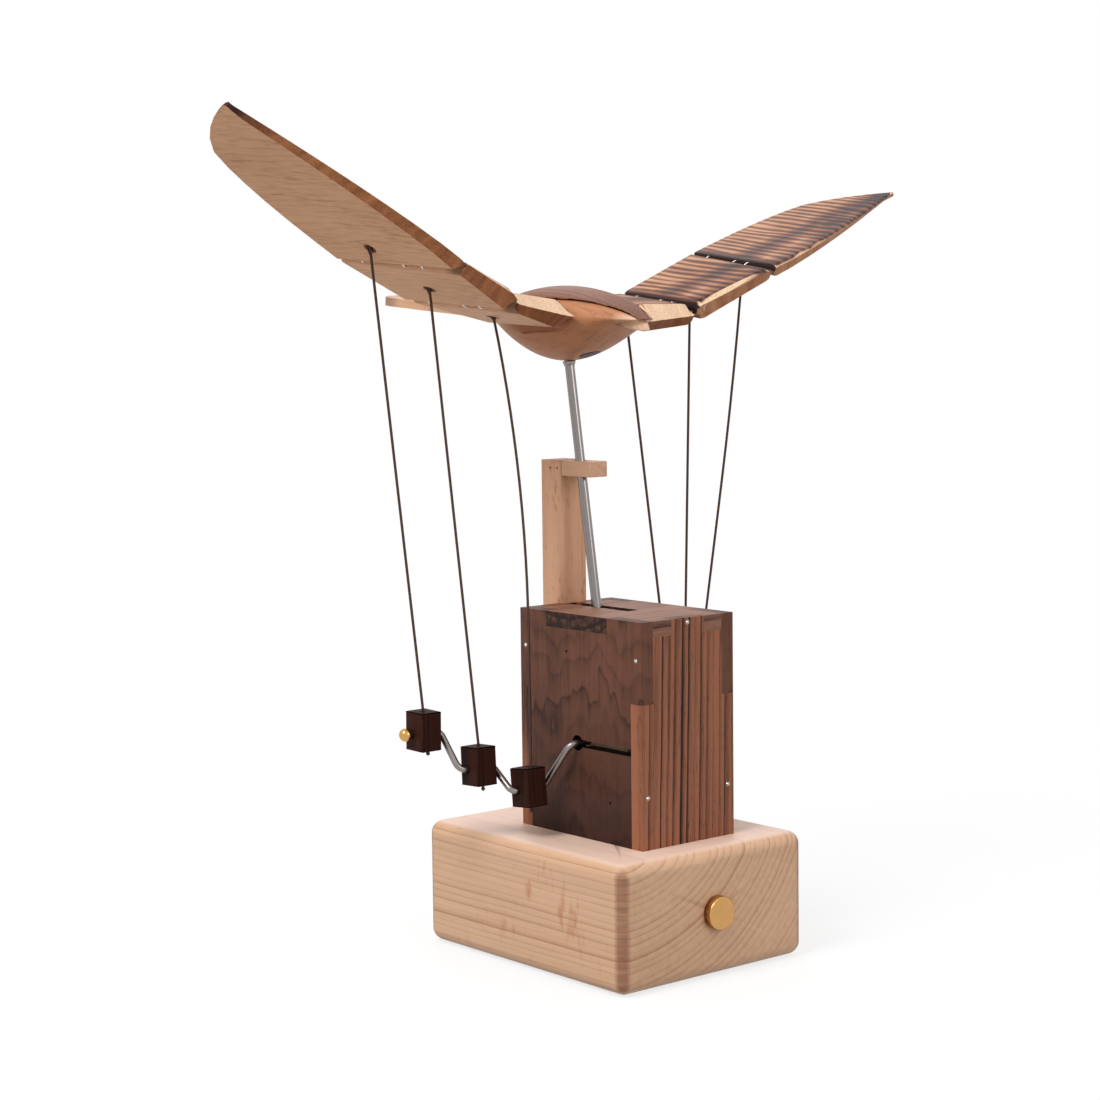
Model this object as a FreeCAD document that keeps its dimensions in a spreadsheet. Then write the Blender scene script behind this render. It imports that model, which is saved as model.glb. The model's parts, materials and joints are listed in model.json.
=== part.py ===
import FreeCAD, Part
import Sketcher
import math
import os
import re

from FreeCAD import Placement, Rotation, Vector

# Flapping bird automaton: a beech bird with three-part wings rides on a steel rod above a walnut
# case. A bent crank runs through the case, and six spring wire pushrods lead from it to the wings.
# X is to the bird's left and right, the bird's beak points along -Y and +Z is up. The origin is the
# centre of the underside of the plinth.

doc = FreeCAD.newDocument("FlappingBird")
sheet = doc.addObject("Spreadsheet::Sheet", "Sizes")
known = []

# driving dimensions
sizes = {
    # plinth, its cover and the control in its front
    "plinth_wide": 110, "plinth_deep": 136.3, "plinth_tall": 56.6, "plinth_round": 6,
    "hollow_wide": 84, "hollow_front": -60, "hollow_back": 52, "plinth_roof": 12.6,
    "cover_side_lap": 4, "cover_end_lap": 2, "cover_thick": 3.6, "cover_slack": 0.2,
    "cover_screw_in": 4, "cover_screw_long": 8, "knob_radius": 7.5, "knob_thick": 4,
    "knob_height": 28.6, "knob_edge": 0.5, "shaft_radius": 2,
    "shaft_slack": 0.05, "control_size": 17, "control_deep": 10,
    "cell_radius": 7.1, "cell_long": 50, "cell_gap": 0.4, "holder_wall": 1.5, "holder_tall": 9,
    "lead_bore": 4, "lead_hole_x": 13, "lead_hole_y": -27,
    # walnut case, of boards finger-jointed at the corners
    "case_half": 27.5, "case_front": -51.2, "case_back": 30.7, "case_tall": 100, "board": 7,
    "corner_drop": 36.1, "side_tab_front": -29, "side_tab_back": 12.3, "front_tab_inner": 9.8,
    "slot_half": 3.25, "slot_front": -15.8, "nail_radius": 1, "nail_long": 12,
    "nail_foot": 22.9, "nail_drop": 16.9, "upper_pin_y": -1.4, "upper_pin_drop": 17.1,
    "lower_pin_y": -30.1, "lower_pin_foot": 18.3, "screw_radius": 1.5, "screw_head": 3,
    "screw_head_tall": 2, "case_screw_long": 14,
    "case_screw_fore": -30, "case_screw_aft": 8, "top_nail_over": 1.4,
    "small_screw": 1, "small_head": 1.8, "head_sunk": 0.3,
    # guide post and arm behind the case
    "post_left": -4.9, "post_right": 9.4, "post_front": 27.4, "post_back": 41.5, "post_rise": 66.1,
    "post_screw_foot": 23.4, "post_screw_drop": 14.6, "near_arm_pin": 3, "far_arm_pin": 8,
    "tongue_inset": 1,
    "arm_right": 5.4, "arm_front": 7, "arm_thick": 7.1, "tongue_left": -1.4, "tongue_right": 3.4,
    "tongue_deep": 11,
    "guide_slot_long": 8.6, "guide_slot_slack": 0.1, "pin_radius": 0.65, "pin_sunk": 0.7,
    # crank axis, its inner bearings and the drive
    "axis_back": -8.5, "axis_rise": 42.4, "wire_radius": 1.5, "wire_slack": 0.03, "hole_radius": 3.5,
    "wire_slot": 3.3,
    "bearing_thick": 3, "bearing_front": -34, "bearing_back": 3, "bearing_foot": 13.4,
    "bearing_clear": 5.6,
    "tooth_module": 0.8, "gear_teeth": 64, "pinion_teeth": 18, "gear_clear": 1.5, "gear_thick": 4.5,
    "pressure_angle": 20, "tooth_above": 0.9, "tooth_below": 1.15, "tooth_backlash": 0.16,
    "motor_angle": 140, "motor_clear": 2.5, "motor_room": 2.5, "gearbox_long": 9, "motor_wide": 10,
    "motor_tall": 12,
    "bracket_thick": 1.5, "bracket_half": 8, "flange_long": 11,
    "bracket_screw_in": 7, "bracket_screw_edge": 2, "bracket_screw": 0.85, "bracket_head": 1.65,
    "bracket_head_tall": 1.2, "bracket_screw_start": 2,
    # crank throws: the middle of each pin, and the blocks on them
    "easy_bend": 4.1, "tight_bend": 2.9, "bend_gap": 0.15, "ball_radius": 3, "ball_slack": 0.15,
    "centre_throw": 12, "centre_wide": 9, "centre_deep": 11, "centre_below": 6, "centre_above": 12,
    "inner_pin_x": 44.8, "inner_throw_back": 15, "inner_throw_up": -20.7,
    "middle_pin_x": 61.8, "middle_throw_back": 29.3, "middle_throw_up": -10.7,
    "outer_pin_x": 83.4, "outer_throw_back": 41, "outer_throw_up": 6.2, "right_outer_in": 2.5,
    "block_wide": 11.2, "block_deep": 12.5, "block_tall": 17.6, "block_edge": 0.5, "block_lift": 1.2,
    "rod_to_pin": 3,
    # pushrods
    "pushrod_radius": 0.6, "pushrod_slack": 0.3, "tail_below": 1.6, "tail_radius": 0.9,
    "hook_radius": 0.95,
    "recess_radius": 3, "recess_deep": 3, "hook_deep": 1.4, "root_recess_shift": 0.2,
    "mid_recess_shift": 0.6, "tip_recess_shift": 0.95,
    "left_inner_bow": 0.064, "left_inner_straight": 0.33, "right_outer_bow": 0.013, "bow_across": 0.768,
    "bow_back": -0.64, "right_outer_straight": 0.48,
    # lift rod, which leans back from the case to the bird
    "rod_radius": 2.25, "rod_at_case_top": 9.3, "rod_lean": 0.156, "rod_foot": 4,
    "rod_top_rise": -5.3, "collar_up_rise": -18.4, "collar_radius": 3.1, "collar_wall": 0.2,
    "collar_long": 2,
    # bird's body: its widest place, the middle of its back and its lowest place each have a length
    # forward to the beak end and one backward to the tail end
    "body_front": -25.64, "body_back": 78.1, "body_half": 21.76, "body_widest": 24.2,
    "plan_fore": 0.519, "plan_aft": 0.532,
    "back_rise": 12.8, "back_top": 26, "back_fore": 1.03, "back_aft": 1.047,
    "belly_drop": 20.57, "belly_low": 29.8, "belly_fore": 1.744, "belly_aft": 1.251,
    "bird_rise": 129.7, "body_slope": 0.045, "crown_lip": 0.9,
    "crown_peak": 24, "crown_up_rise": 10.1, "crown_front": -34, "crown_back": 90,
    "crown_over_rise": 53.7,
    "crown_fore_fall": 10.2, "crown_fore_long": 50, "crown_fore_power": 2.7,
    "crown_aft_fall": 3.2, "crown_aft_long": 40, "crown_beside": 40,
    "beak_front": -28, "beak_back": -10, "beak_tip_half": 0.3, "beak_half": 9.6, "beak_top_share": 0.72,
    "beak_under_rise": -4.9, "beak_under_climb": 2.2, "beak_edge_rise": -4.7, "beak_edge_climb": 4,
    "beak_top_rise": -4.2, "beak_top_climb": 9.5, "beak_plan": 1.1,
    "beak_under_curve": 2.4, "beak_edge_curve": 1.5, "beak_top_curve": 0.62,
    "hinge_to_flank": 0.6, "left_flank_low_rise": -4.9, "right_flank_low_rise": -7.1, "flank_front": -5,
    "flank_back": 53, "flank_top_rise": 11.9,
    "plug_x": 0.8, "plug_y": 13, "plug_radius": 4.9, "plug_low_rise": -30, "plug_high_rise": -8,
    "tail_start": 70, "tail_root": 18, "tail_wide": 30, "tail_round": 143.6, "tail_thick": 4.2,
    "tail_pitch": 5.5, "tail_up_rise": 1.2,
    # wings: each panel in its own plane, out from its hinge line and back from its leading edge
    "hinge_half": 20, "hinge_mid_y": 27.26, "hinge_mid_z_rise": 3.06, "hinge_mid_back": 30,
    "hinge_gap": 0.8,
    "root_chord": 53.35, "root_out": 33.7, "root_back": 1.55, "seam_splay": 9.62, "seam_chord": 63.26,
    "mid_out": 43.17, "mid_back": -6.1, "tip_splay": 2, "tip_chord": 71.74,
    "tip_out": 113.2, "tip_sweep": 54.5, "tip_sweep_curve": 1.258, "tip_bulge": 15,
    "tip_straight": 73.7, "tip_end_back": 38.5, "tip_curve": 1.45, "tip_last": 0.955,
    "root_thick": 12.4, "root_thin": 10.7, "seam_thick": 9.3, "seam_thin": 6.2, "tip_thick": 6.2,
    "tip_thin": 2.6,
    "end_thick": 2, "end_thin": 1.2, "full_chord": 20, "root_ridge": -0.12, "mid_ridge": 0.55,
    "root_nose_top": 9.2, "root_nose_low": 7, "seam_nose_top": 5.6, "seam_nose_low": 1.5,
    "mid_nose": 3.2, "tip_nose": 3,
    "left_pitch": 2.15, "left_root": 10.29, "left_mid": 10.84, "left_tip": 13.75,
    "right_pitch": 6.53, "right_root": 4.2, "right_mid": 24.55, "right_tip": -9.34,
    "ring_radius": 0.3, "ring_sink": 0.6, "ring_most": 3.4, "ring_slack": 0.06,
    "ring_fore": 0.32, "ring_middle": 0.47, "ring_aft": 0.81, "eye_root_out": 19.8,
    "eye_root_back": 34.7, "eye_mid_out": 20.1, "eye_mid_back": 34.2,
    "eye_tip_out": 12.2, "eye_tip_back": 45.2,
}


def keep(name, value):
    # Each driving dimension gets a row of the sheet, with its name and its value.
    known.append(name)
    sheet.set(f"A{len(known)}", name)
    sheet.set(f"B{len(known)}", str(value))
    sheet.setAlias(f"B{len(known)}", name)


def size(name):
    return float(sheet.get(name))


def follow(name, *parts):
    # A place that follows from others: the sum of named ones, each taken away where it has a minus.
    total = sum(-size(part[1:]) if part[0] == "-" else size(part) for part in parts)
    keep(name, round(total, 6))
    doc.recompute()


for size_name, size_value in sizes.items():
    keep(size_name, size_value)
doc.recompute()

# what stands on the plinth, what hangs from the top of the case, and the crank's throws
follow("case_top", "plinth_tall", "case_tall")
follow("hollow_top", "plinth_tall", "-plinth_roof")
follow("axis_up", "plinth_tall", "axis_rise")
follow("bearing_low", "plinth_tall", "bearing_foot")
follow("bearing_high", "case_top", "-board", "-bearing_clear")
follow("corner_step", "case_top", "-corner_drop")
follow("nail_low", "plinth_tall", "nail_foot")
follow("nail_high", "case_top", "-nail_drop")
follow("lower_pin_z", "plinth_tall", "lower_pin_foot")
follow("upper_pin_z", "case_top", "-upper_pin_drop")
follow("post_screw_low", "plinth_tall", "post_screw_foot")
follow("post_screw_high", "case_top", "-post_screw_drop")
follow("post_top", "case_top", "post_rise")
follow("gear_near", "case_half", "-board", "-bearing_thick", "-gear_thick", "-gear_clear")
follow("motor_end", "gear_near", "-motor_clear")
follow("motor_long", "motor_end", "-gearbox_long", "case_half", "-board", "-bearing_thick", "-motor_room")
follow("bracket_screw_x", "motor_end", "-bracket_screw_in")
follow("centre_pin_up", "axis_up", "-centre_throw")
for throw_name in ("inner", "middle", "outer"):
    follow(f"{throw_name}_pin_y", "axis_back", f"{throw_name}_throw_back")
    follow(f"{throw_name}_pin_z", "axis_up", f"{throw_name}_throw_up")
# heights on the bird, over the middle line of its body at the beak
follow("body_floor", "case_top", "bird_rise")
follow("flank", "hinge_half", "-hinge_to_flank")
for place_name in ("rod_top", "collar_up", "crown_up", "crown_over", "beak_under", "beak_edge", "beak_top",
                   "left_flank_low", "right_flank_low", "flank_top", "plug_low", "plug_high", "tail_up",
                   "hinge_mid_z"):
    follow(place_name, "body_floor", f"{place_name}_rise")


def formula(text):
    # A formula in the sheet's names, written out as FreeCAD's expressions want it.
    return re.sub(r"[a-z_]+", lambda word: f"Sizes.{word[0]}" if word[0] in known else word[0], text)


def bind(piece, **formulas):
    for name, text in formulas.items():
        piece.setExpression(name, formula(text))


def place(piece, x, y, z, turn=Rotation()):
    piece.Placement = Placement(Vector(), turn)
    for axis, text in zip("xyz", (x, y, z)):
        piece.setExpression(f"Placement.Base.{axis}", formula(text))
    return piece


nodes = {}


def node(label, piece):
    # A finished sub-part: its label is the name of its file.
    piece.Label = label
    nodes[label] = piece
    return piece


# Part primitives and booleans

along_x = Rotation(Vector(0, 1, 0), 90)
along_y = Rotation(Vector(1, 0, 0), -90)


def box(name, x, y, z, wide, deep, tall):
    piece = doc.addObject("Part::Box", name)
    bind(piece, Length=wide, Width=deep, Height=tall)
    return place(piece, x, y, z)


def tilted_box(name, placement, wide, deep, tall):
    piece = doc.addObject("Part::Box", name)
    bind(piece, Length=wide, Width=deep, Height=tall)
    piece.Placement = placement
    return piece


def tilted_cylinder(name, placement, radius, long):
    piece = doc.addObject("Part::Cylinder", name)
    bind(piece, Radius=radius, Height=long)
    piece.Placement = placement
    return piece


def cylinder(name, x, y, z, radius, long, turn=Rotation()):
    piece = doc.addObject("Part::Cylinder", name)
    bind(piece, Radius=radius, Height=long)
    return place(piece, x, y, z, turn)


def cut(name, base, *tools):
    piece = doc.addObject("Part::Cut", name)
    piece.Base = base
    piece.Tool = tools[0] if len(tools) == 1 else join(f"{name}_tools", *tools)
    return piece


def common(name, base, tool):
    piece = doc.addObject("Part::Common", name)
    piece.Base = base
    piece.Tool = tool
    return piece


def join(name, *pieces):
    piece = doc.addObject("Part::MultiFuse", name)
    piece.Shapes = list(pieces)
    return piece


def together(name, *pieces):
    # Like pieces that stay separate solids in one node.
    piece = doc.addObject("Part::Compound", name)
    piece.Links = list(pieces)
    return piece


def shaped(name, shape, placement=Placement()):
    piece = doc.addObject("Part::Feature", name)
    piece.Shape = shape
    piece.Placement = placement
    return piece


# Bodies with sketches

def body(name, x="0", y="0", z="0"):
    return place(doc.addObject("PartDesign::Body", name), x, y, z)


def sketch(owner, role, name):
    drawing = owner.newObject("Sketcher::SketchObject", name)
    plane = next(feature for feature in owner.Origin.OriginFeatures if feature.Role == role)
    drawing.AttachmentSupport = [(plane, "")]
    drawing.MapMode = "FlatFace"
    return drawing


def pin_down(drawing, kind, *geometry, to):
    # A dimension of the sketch, driven by a formula.
    index = drawing.addConstraint(Sketcher.Constraint(kind, *geometry, 1.0))
    drawing.setExpression(f"Constraints[{index}]", formula(to))


def outline(drawing, *corners):
    # A closed run of straight lines, with each corner held from the sketch's origin.
    start = drawing.GeometryCount
    spread = [Vector(math.cos(turn), math.sin(turn), 0)
              for turn in (2 * math.pi * step / len(corners) for step in range(len(corners)))]
    for first, second in zip(spread, spread[1:] + spread[:1]):
        drawing.addGeometry(Part.LineSegment(first, second), False)
    for step in range(len(corners)):
        follower = start + (step + 1) % len(corners)
        drawing.addConstraint(Sketcher.Constraint("Coincident", start + step, 2, follower, 1))
    for step, (across, up) in enumerate(corners):
        pin_down(drawing, "DistanceX", -1, 1, start + step, 1, to=across)
        pin_down(drawing, "DistanceY", -1, 1, start + step, 1, to=up)


def rectangle(drawing, left, low, right, high):
    outline(drawing, (left, low), (right, low), (right, high), (left, high))


def circle(drawing, across, up, radius):
    index = drawing.addGeometry(Part.Circle(Vector(), Vector(0, 0, 1), 1), False)
    pin_down(drawing, "Radius", index, to=radius)
    pin_down(drawing, "DistanceX", -1, 1, index, 3, to=across)
    pin_down(drawing, "DistanceY", -1, 1, index, 3, to=up)


def pad(owner, name, drawing, long, other_way=False):
    feature = owner.newObject("PartDesign::Pad", name)
    feature.Profile = drawing
    feature.Reversed = other_way
    bind(feature, Length=long)
    doc.recompute()
    return feature


def pocket(owner, name, drawing, deep=None, other_way=False):
    # A pocket of the given depth, or right through; it has to take something away.
    before = owner.Shape.Volume
    feature = owner.newObject("PartDesign::Pocket", name)
    feature.Profile = drawing
    feature.Reversed = other_way
    if deep is None:
        feature.Type = "ThroughAll"
    else:
        bind(feature, Length=deep)
    doc.recompute()
    if owner.Shape.Volume > before - 0.1:
        raise RuntimeError(f"{owner.Label}: {name} cuts nothing")
    return feature


def rounded(owner, name, base, edges, radius):
    feature = owner.newObject("PartDesign::Fillet", name)
    feature.Base = (base, edges)
    bind(feature, Radius=radius)
    doc.recompute()
    return feature


# Plinth

def make_plinth():
    # A solid block with all its edges rounded, hollowed from below.
    plinth = body("plinth")
    base = sketch(plinth, "XY_Plane", "plinth_outline")
    rectangle(base, "-plinth_wide / 2", "-plinth_deep / 2", "plinth_wide / 2", "plinth_deep / 2")
    solid = pad(plinth, "plinth_block", base, "plinth_tall")
    every_edge = [f"Edge{number + 1}" for number in range(len(solid.Shape.Edges))]
    rounded(plinth, "plinth_rounding", solid, every_edge, "plinth_round")
    hollow = sketch(plinth, "XY_Plane", "hollow_outline")
    rectangle(hollow, "-hollow_wide / 2", "hollow_front", "hollow_wide / 2", "hollow_back")
    pocket(plinth, "plinth_hollow", hollow, "hollow_top", True)
    rebate = sketch(plinth, "XY_Plane", "rebate_outline")
    side = "(hollow_wide / 2 + cover_side_lap + cover_slack)"
    rectangle(rebate, f"-{side}", "hollow_front - cover_end_lap - cover_slack", side,
              "hollow_back + cover_end_lap + cover_slack")
    pocket(plinth, "plinth_rebate", rebate, "cover_thick", True)
    front = sketch(plinth, "XZ_Plane", "shaft_hole_outline")
    circle(front, "0", "knob_height", "shaft_radius + shaft_slack")
    pocket(plinth, "shaft_hole", front, None, True)
    top = sketch(plinth, "XY_Plane", "top_holes_outline")
    circle(top, "lead_hole_x", "lead_hole_y", "lead_bore")
    for x, y in case_screw_places:
        circle(top, x, y, "screw_radius")
    pocket(plinth, "top_holes", top, None, True)
    for x, y in cover_screw_places:
        corner = sketch(plinth, "XY_Plane", f"cover_screw_hole_{len(plinth.Group)}")
        circle(corner, x, y, "small_screw")
        pocket(plinth, f"cover_hole_{len(plinth.Group)}", corner, "cover_thick + cover_screw_long + 1", True)
    return node("plinth", plinth)


case_screw_places = [(f"{side} * (case_half - board / 2)", f"case_screw_{end}")
                     for side in (-1, 1) for end in ("fore", "aft")]
cover_screw_places = [(f"{side} * (hollow_wide / 2 + cover_side_lap / 2)", y) for side in (-1, 1)
                      for y in ("hollow_front + cover_screw_in", "hollow_back - cover_screw_in")]


def make_cover():
    cover = body("plinth_cover")
    plate = sketch(cover, "XY_Plane", "cover_outline")
    side = "(hollow_wide / 2 + cover_side_lap)"
    rectangle(plate, f"-{side}", "hollow_front - cover_end_lap", side, "hollow_back + cover_end_lap")
    pad(cover, "cover_plate", plate, "cover_thick")
    holes = sketch(cover, "XY_Plane", "cover_holes")
    for x, y in cover_screw_places:
        circle(holes, x, y, "small_screw")
    pocket(cover, "cover_bores", holes, None, True)
    sinks = sketch(cover, "XY_Plane", "cover_sinks")
    for x, y in cover_screw_places:
        circle(sinks, x, y, "small_head")
    pocket(cover, "cover_counterbores", sinks, "screw_head_tall + head_sunk", True)
    node("plinth_cover", cover)
    screws = []
    for number, (x, y) in enumerate(cover_screw_places):
        head = cylinder(f"cover_head_{number}", x, y, "head_sunk", "small_head", "screw_head_tall")
        shank = cylinder(f"cover_shank_{number}", x, y, "head_sunk + screw_head_tall", "small_screw",
                         "cover_thick - head_sunk - screw_head_tall + cover_screw_long")
        screws.append(join(f"cover_screw_{number}", head, shank))
    node("cover_screws", together("cover_screws", *screws))


def make_batteries():
    # Two cells side by side in an open tray that stands on the cover.
    floor = "cover_thick"
    span = "(4 * cell_radius + 3 * cell_gap)"
    tray = box("tray_block", f"-{span} / 2 - holder_wall", "-cell_long / 2 - cell_gap - holder_wall",
               floor, f"{span} + 2 * holder_wall", "cell_long + 2 * cell_gap + 2 * holder_wall",
               "holder_tall + holder_wall")
    space = box("tray_space", f"-{span} / 2", "-cell_long / 2 - cell_gap", f"{floor} + holder_wall",
                span, "cell_long + 2 * cell_gap", "holder_tall + holder_wall")
    node("battery_holder", cut("battery_holder", tray, space))
    cells = []
    for side in (-1, 1):
        cells.append(cylinder(f"cell_{side + 1}", f"{side} * (cell_radius + cell_gap / 2)",
                              "-cell_long / 2", f"{floor} + holder_wall + cell_radius", "cell_radius",
                              "cell_long", along_y))
    node("batteries", together("batteries", *cells))


def make_control():
    # A turned knob on a shaft that runs through the front wall into the control's housing.
    inner = "hollow_front + 0.2"
    case = box("control_case", "-control_size / 2", inner, "knob_height - control_size / 2",
               "control_size", "control_deep", "control_size")
    bore = cylinder("control_bore", "0", f"{inner} - 1", "knob_height", "shaft_radius + shaft_slack",
                    "control_deep - 1", along_y)
    node("speed_control", cut("speed_control", case, bore))
    knob = body("control_knob", y="-plinth_deep / 2", z="knob_height")
    profile = sketch(knob, "XY_Plane", "knob_profile")
    outline(profile, ("0", "-knob_thick - 0.1"), ("knob_radius - knob_edge", "-knob_thick - 0.1"),
            ("knob_radius", "-knob_thick - 0.1 + knob_edge"), ("knob_radius", "-0.1"),
            ("shaft_radius", "-0.1"), ("shaft_radius", "-0.1 - knob_thick / 2"),
            ("0", "-0.1 - knob_thick / 2"))
    turned = knob.newObject("PartDesign::Revolution", "knob_turning")
    turned.Profile = profile
    turned.ReferenceAxis = (profile, ["V_Axis"])
    turned.Angle = 360
    node("control_knob", knob)
    node("control_shaft", cylinder("control_shaft", "0", "-plinth_deep / 2 - 0.1 - knob_thick / 2",
                                   "knob_height", "shaft_radius",
                                   "knob_thick / 2 + 0.1 + plinth_deep / 2 + hollow_front + 6", along_y))


# Case

top_under = "case_top - board"
inside = "case_half - board"


def make_nails():
    # Brads through the corners: each entry is a place on the case and the way the brad points.
    nails = []
    edge = "case_half - board / 2"
    for side in (-1, 1):
        nails.append(cylinder(f"front_nail_{side + 1}", f"{side} * ({edge})", "case_front", "nail_low",
                              "nail_radius", "nail_long", along_y))
        nails.append(cylinder(f"back_nail_{side + 1}", f"{side} * ({edge})", "case_back - nail_long",
                              "nail_low", "nail_radius", "nail_long", along_y))
        start = "-case_half" if side < 0 else "case_half - nail_long"
        for place_name, y in (("fore", "case_front + board / 2"), ("aft", "case_back - board / 2")):
            nails.append(cylinder(f"{place_name}_nail_{side + 1}", start, y, "nail_high",
                                  "nail_radius", "nail_long", along_x))
    nails.append(cylinder("top_nail", "0", "case_front", "case_top - board / 2 + top_nail_over",
                          "nail_radius", "nail_long", along_y))
    return node("case_nails", together("case_nails", *nails))


def make_bearing_pins():
    # The pins' holes start in the outer face of each side board, and the pins sit a little deeper.
    pins = []
    holes = []
    for side in (-1, 1):
        outer = f"{side} * case_half"
        turn = along_x if side < 0 else along_x.inverted()
        for spot in ("upper", "lower"):
            y = f"{spot}_pin_y"
            z = f"{spot}_pin_z"
            holes.append(cylinder(f"{spot}_bearing_hole_{side + 1}", outer, y, z, "pin_radius",
                                  "board + bearing_thick", turn))
            pins.append(cylinder(f"{spot}_bearing_pin_{side + 1}", f"{outer} - {side} * pin_sunk", y, z,
                                 "pin_radius", "board + bearing_thick - pin_sunk", turn))
    node("bearing_pins", together("bearing_pins", *pins))
    return together("bearing_holes", *holes)


def make_case_screws():
    screws = []
    for number, (x, y) in enumerate(case_screw_places):
        head = cylinder(f"case_head_{number}", x, y, "hollow_top - screw_head_tall", "screw_head",
                        "screw_head_tall")
        shank = cylinder(f"case_shank_{number}", x, y, "hollow_top", "screw_radius",
                         "plinth_tall - hollow_top + case_screw_long")
        screws.append(join(f"case_screw_{number}", head, shank))
    return node("case_screws", together("case_screws", *screws))


def make_post_screws():
    screws = []
    for number, z in enumerate(("post_screw_low", "post_screw_high")):
        head = cylinder(f"post_head_{number}", "(post_left + post_right) / 2",
                        "post_back - screw_head_tall", z, "screw_head", "screw_head_tall", along_y)
        shank = cylinder(f"post_shank_{number}", "(post_left + post_right) / 2",
                         "case_back - board + 1", z, "screw_radius",
                         "post_back - screw_head_tall - case_back + board - 1", along_y)
        screws.append(join(f"post_screw_{number}", head, shank))
    return node("post_screws", together("post_screws", *screws))


def make_side_board(side, name, fixings):
    # Reaches the front and back faces of the case above the corner step, and stops short below it.
    left = "-case_half" if side < 0 else inside
    core = box(f"{name}_core", left, "case_front + board", "plinth_tall", "board",
               "case_back - case_front - 2 * board", "case_tall")
    upper = box(f"{name}_upper", left, "case_front", "corner_step", "board",
                "case_back - case_front", "case_top - corner_step")
    tab = box(f"{name}_tab_notch", left, "side_tab_front", top_under, "board",
              "side_tab_back - side_tab_front", "board")
    hole = cylinder(f"{name}_hole", left, "axis_back", "axis_up", "hole_radius", "board", along_x)
    slot = box(f"{name}_slot", left, "case_front + board", "axis_up - wire_slot / 2", "board",
               "axis_back - case_front - board", "wire_slot")
    node(name, cut(name, join(f"{name}_stock", core, upper), tab, hole, slot, *fixings))


def make_end_board(end, name, fixings):
    # Full width below the corner step, and between the side boards above it.
    front = "case_front" if end < 0 else "case_back - board"
    lower = box(f"{name}_lower", "-case_half", front, "plinth_tall", "2 * case_half", "board",
                "corner_step - plinth_tall")
    upper = box(f"{name}_upper", f"-({inside})", front, "corner_step", f"2 * ({inside})", "board",
                "case_top - corner_step")
    notches = []
    if end < 0:
        for side in (-1, 1):
            start = f"-({inside})" if side < 0 else "front_tab_inner"
            notches.append(box(f"{name}_notch_{side + 1}", start, front, top_under,
                               f"{inside} - front_tab_inner", "board", "board"))
    else:
        notches.append(box(f"{name}_slot", "-slot_half", front, top_under, "2 * slot_half", "board",
                           "board"))
    node(name, cut(name, join(f"{name}_stock", lower, upper), *notches, *fixings))


def make_top_board(fixings):
    core = box("top_core", f"-({inside})", "case_front + board", top_under, f"2 * ({inside})",
               "case_back - case_front - 2 * board", "board")
    tabs = box("top_side_tabs", "-case_half", "side_tab_front", top_under, "2 * case_half",
               "side_tab_back - side_tab_front", "board")
    fronts = []
    for side in (-1, 1):
        start = f"-({inside})" if side < 0 else "front_tab_inner"
        fronts.append(box(f"top_front_tab_{side + 1}", start, "case_front", top_under,
                          f"{inside} - front_tab_inner", "board", "board"))
    slot = box("top_slot", "-slot_half", "slot_front", top_under, "2 * slot_half",
               "case_back - board - slot_front", "board")
    node("top_board", cut("top_board", join("top_stock", core, tabs, *fronts), slot, *fixings))


def make_case():
    nails = make_nails()
    pins = make_bearing_pins()
    screws = make_case_screws()
    post_screws = make_post_screws()
    brackets = make_bracket_screws()
    make_side_board(-1, "left_board", (nails, pins, screws))
    make_side_board(1, "right_board", (nails, pins, screws))
    make_end_board(-1, "front_board", (nails, brackets))
    make_end_board(1, "rear_board", (nails, post_screws))
    make_top_board((nails,))
    for side, name in ((-1, "left_bearing"), (1, "right_bearing")):
        start = f"-({inside})" if side < 0 else f"{inside} - bearing_thick"
        plate = box(f"{name}_plate", start, "bearing_front", "bearing_low", "bearing_thick",
                    "bearing_back - bearing_front", "bearing_high - bearing_low")
        bore = cylinder(f"{name}_bore", start, "axis_back", "axis_up", "wire_radius + wire_slack",
                        "bearing_thick", along_x)
        node(name, cut(name, plate, bore, pins))
    return post_screws


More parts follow.
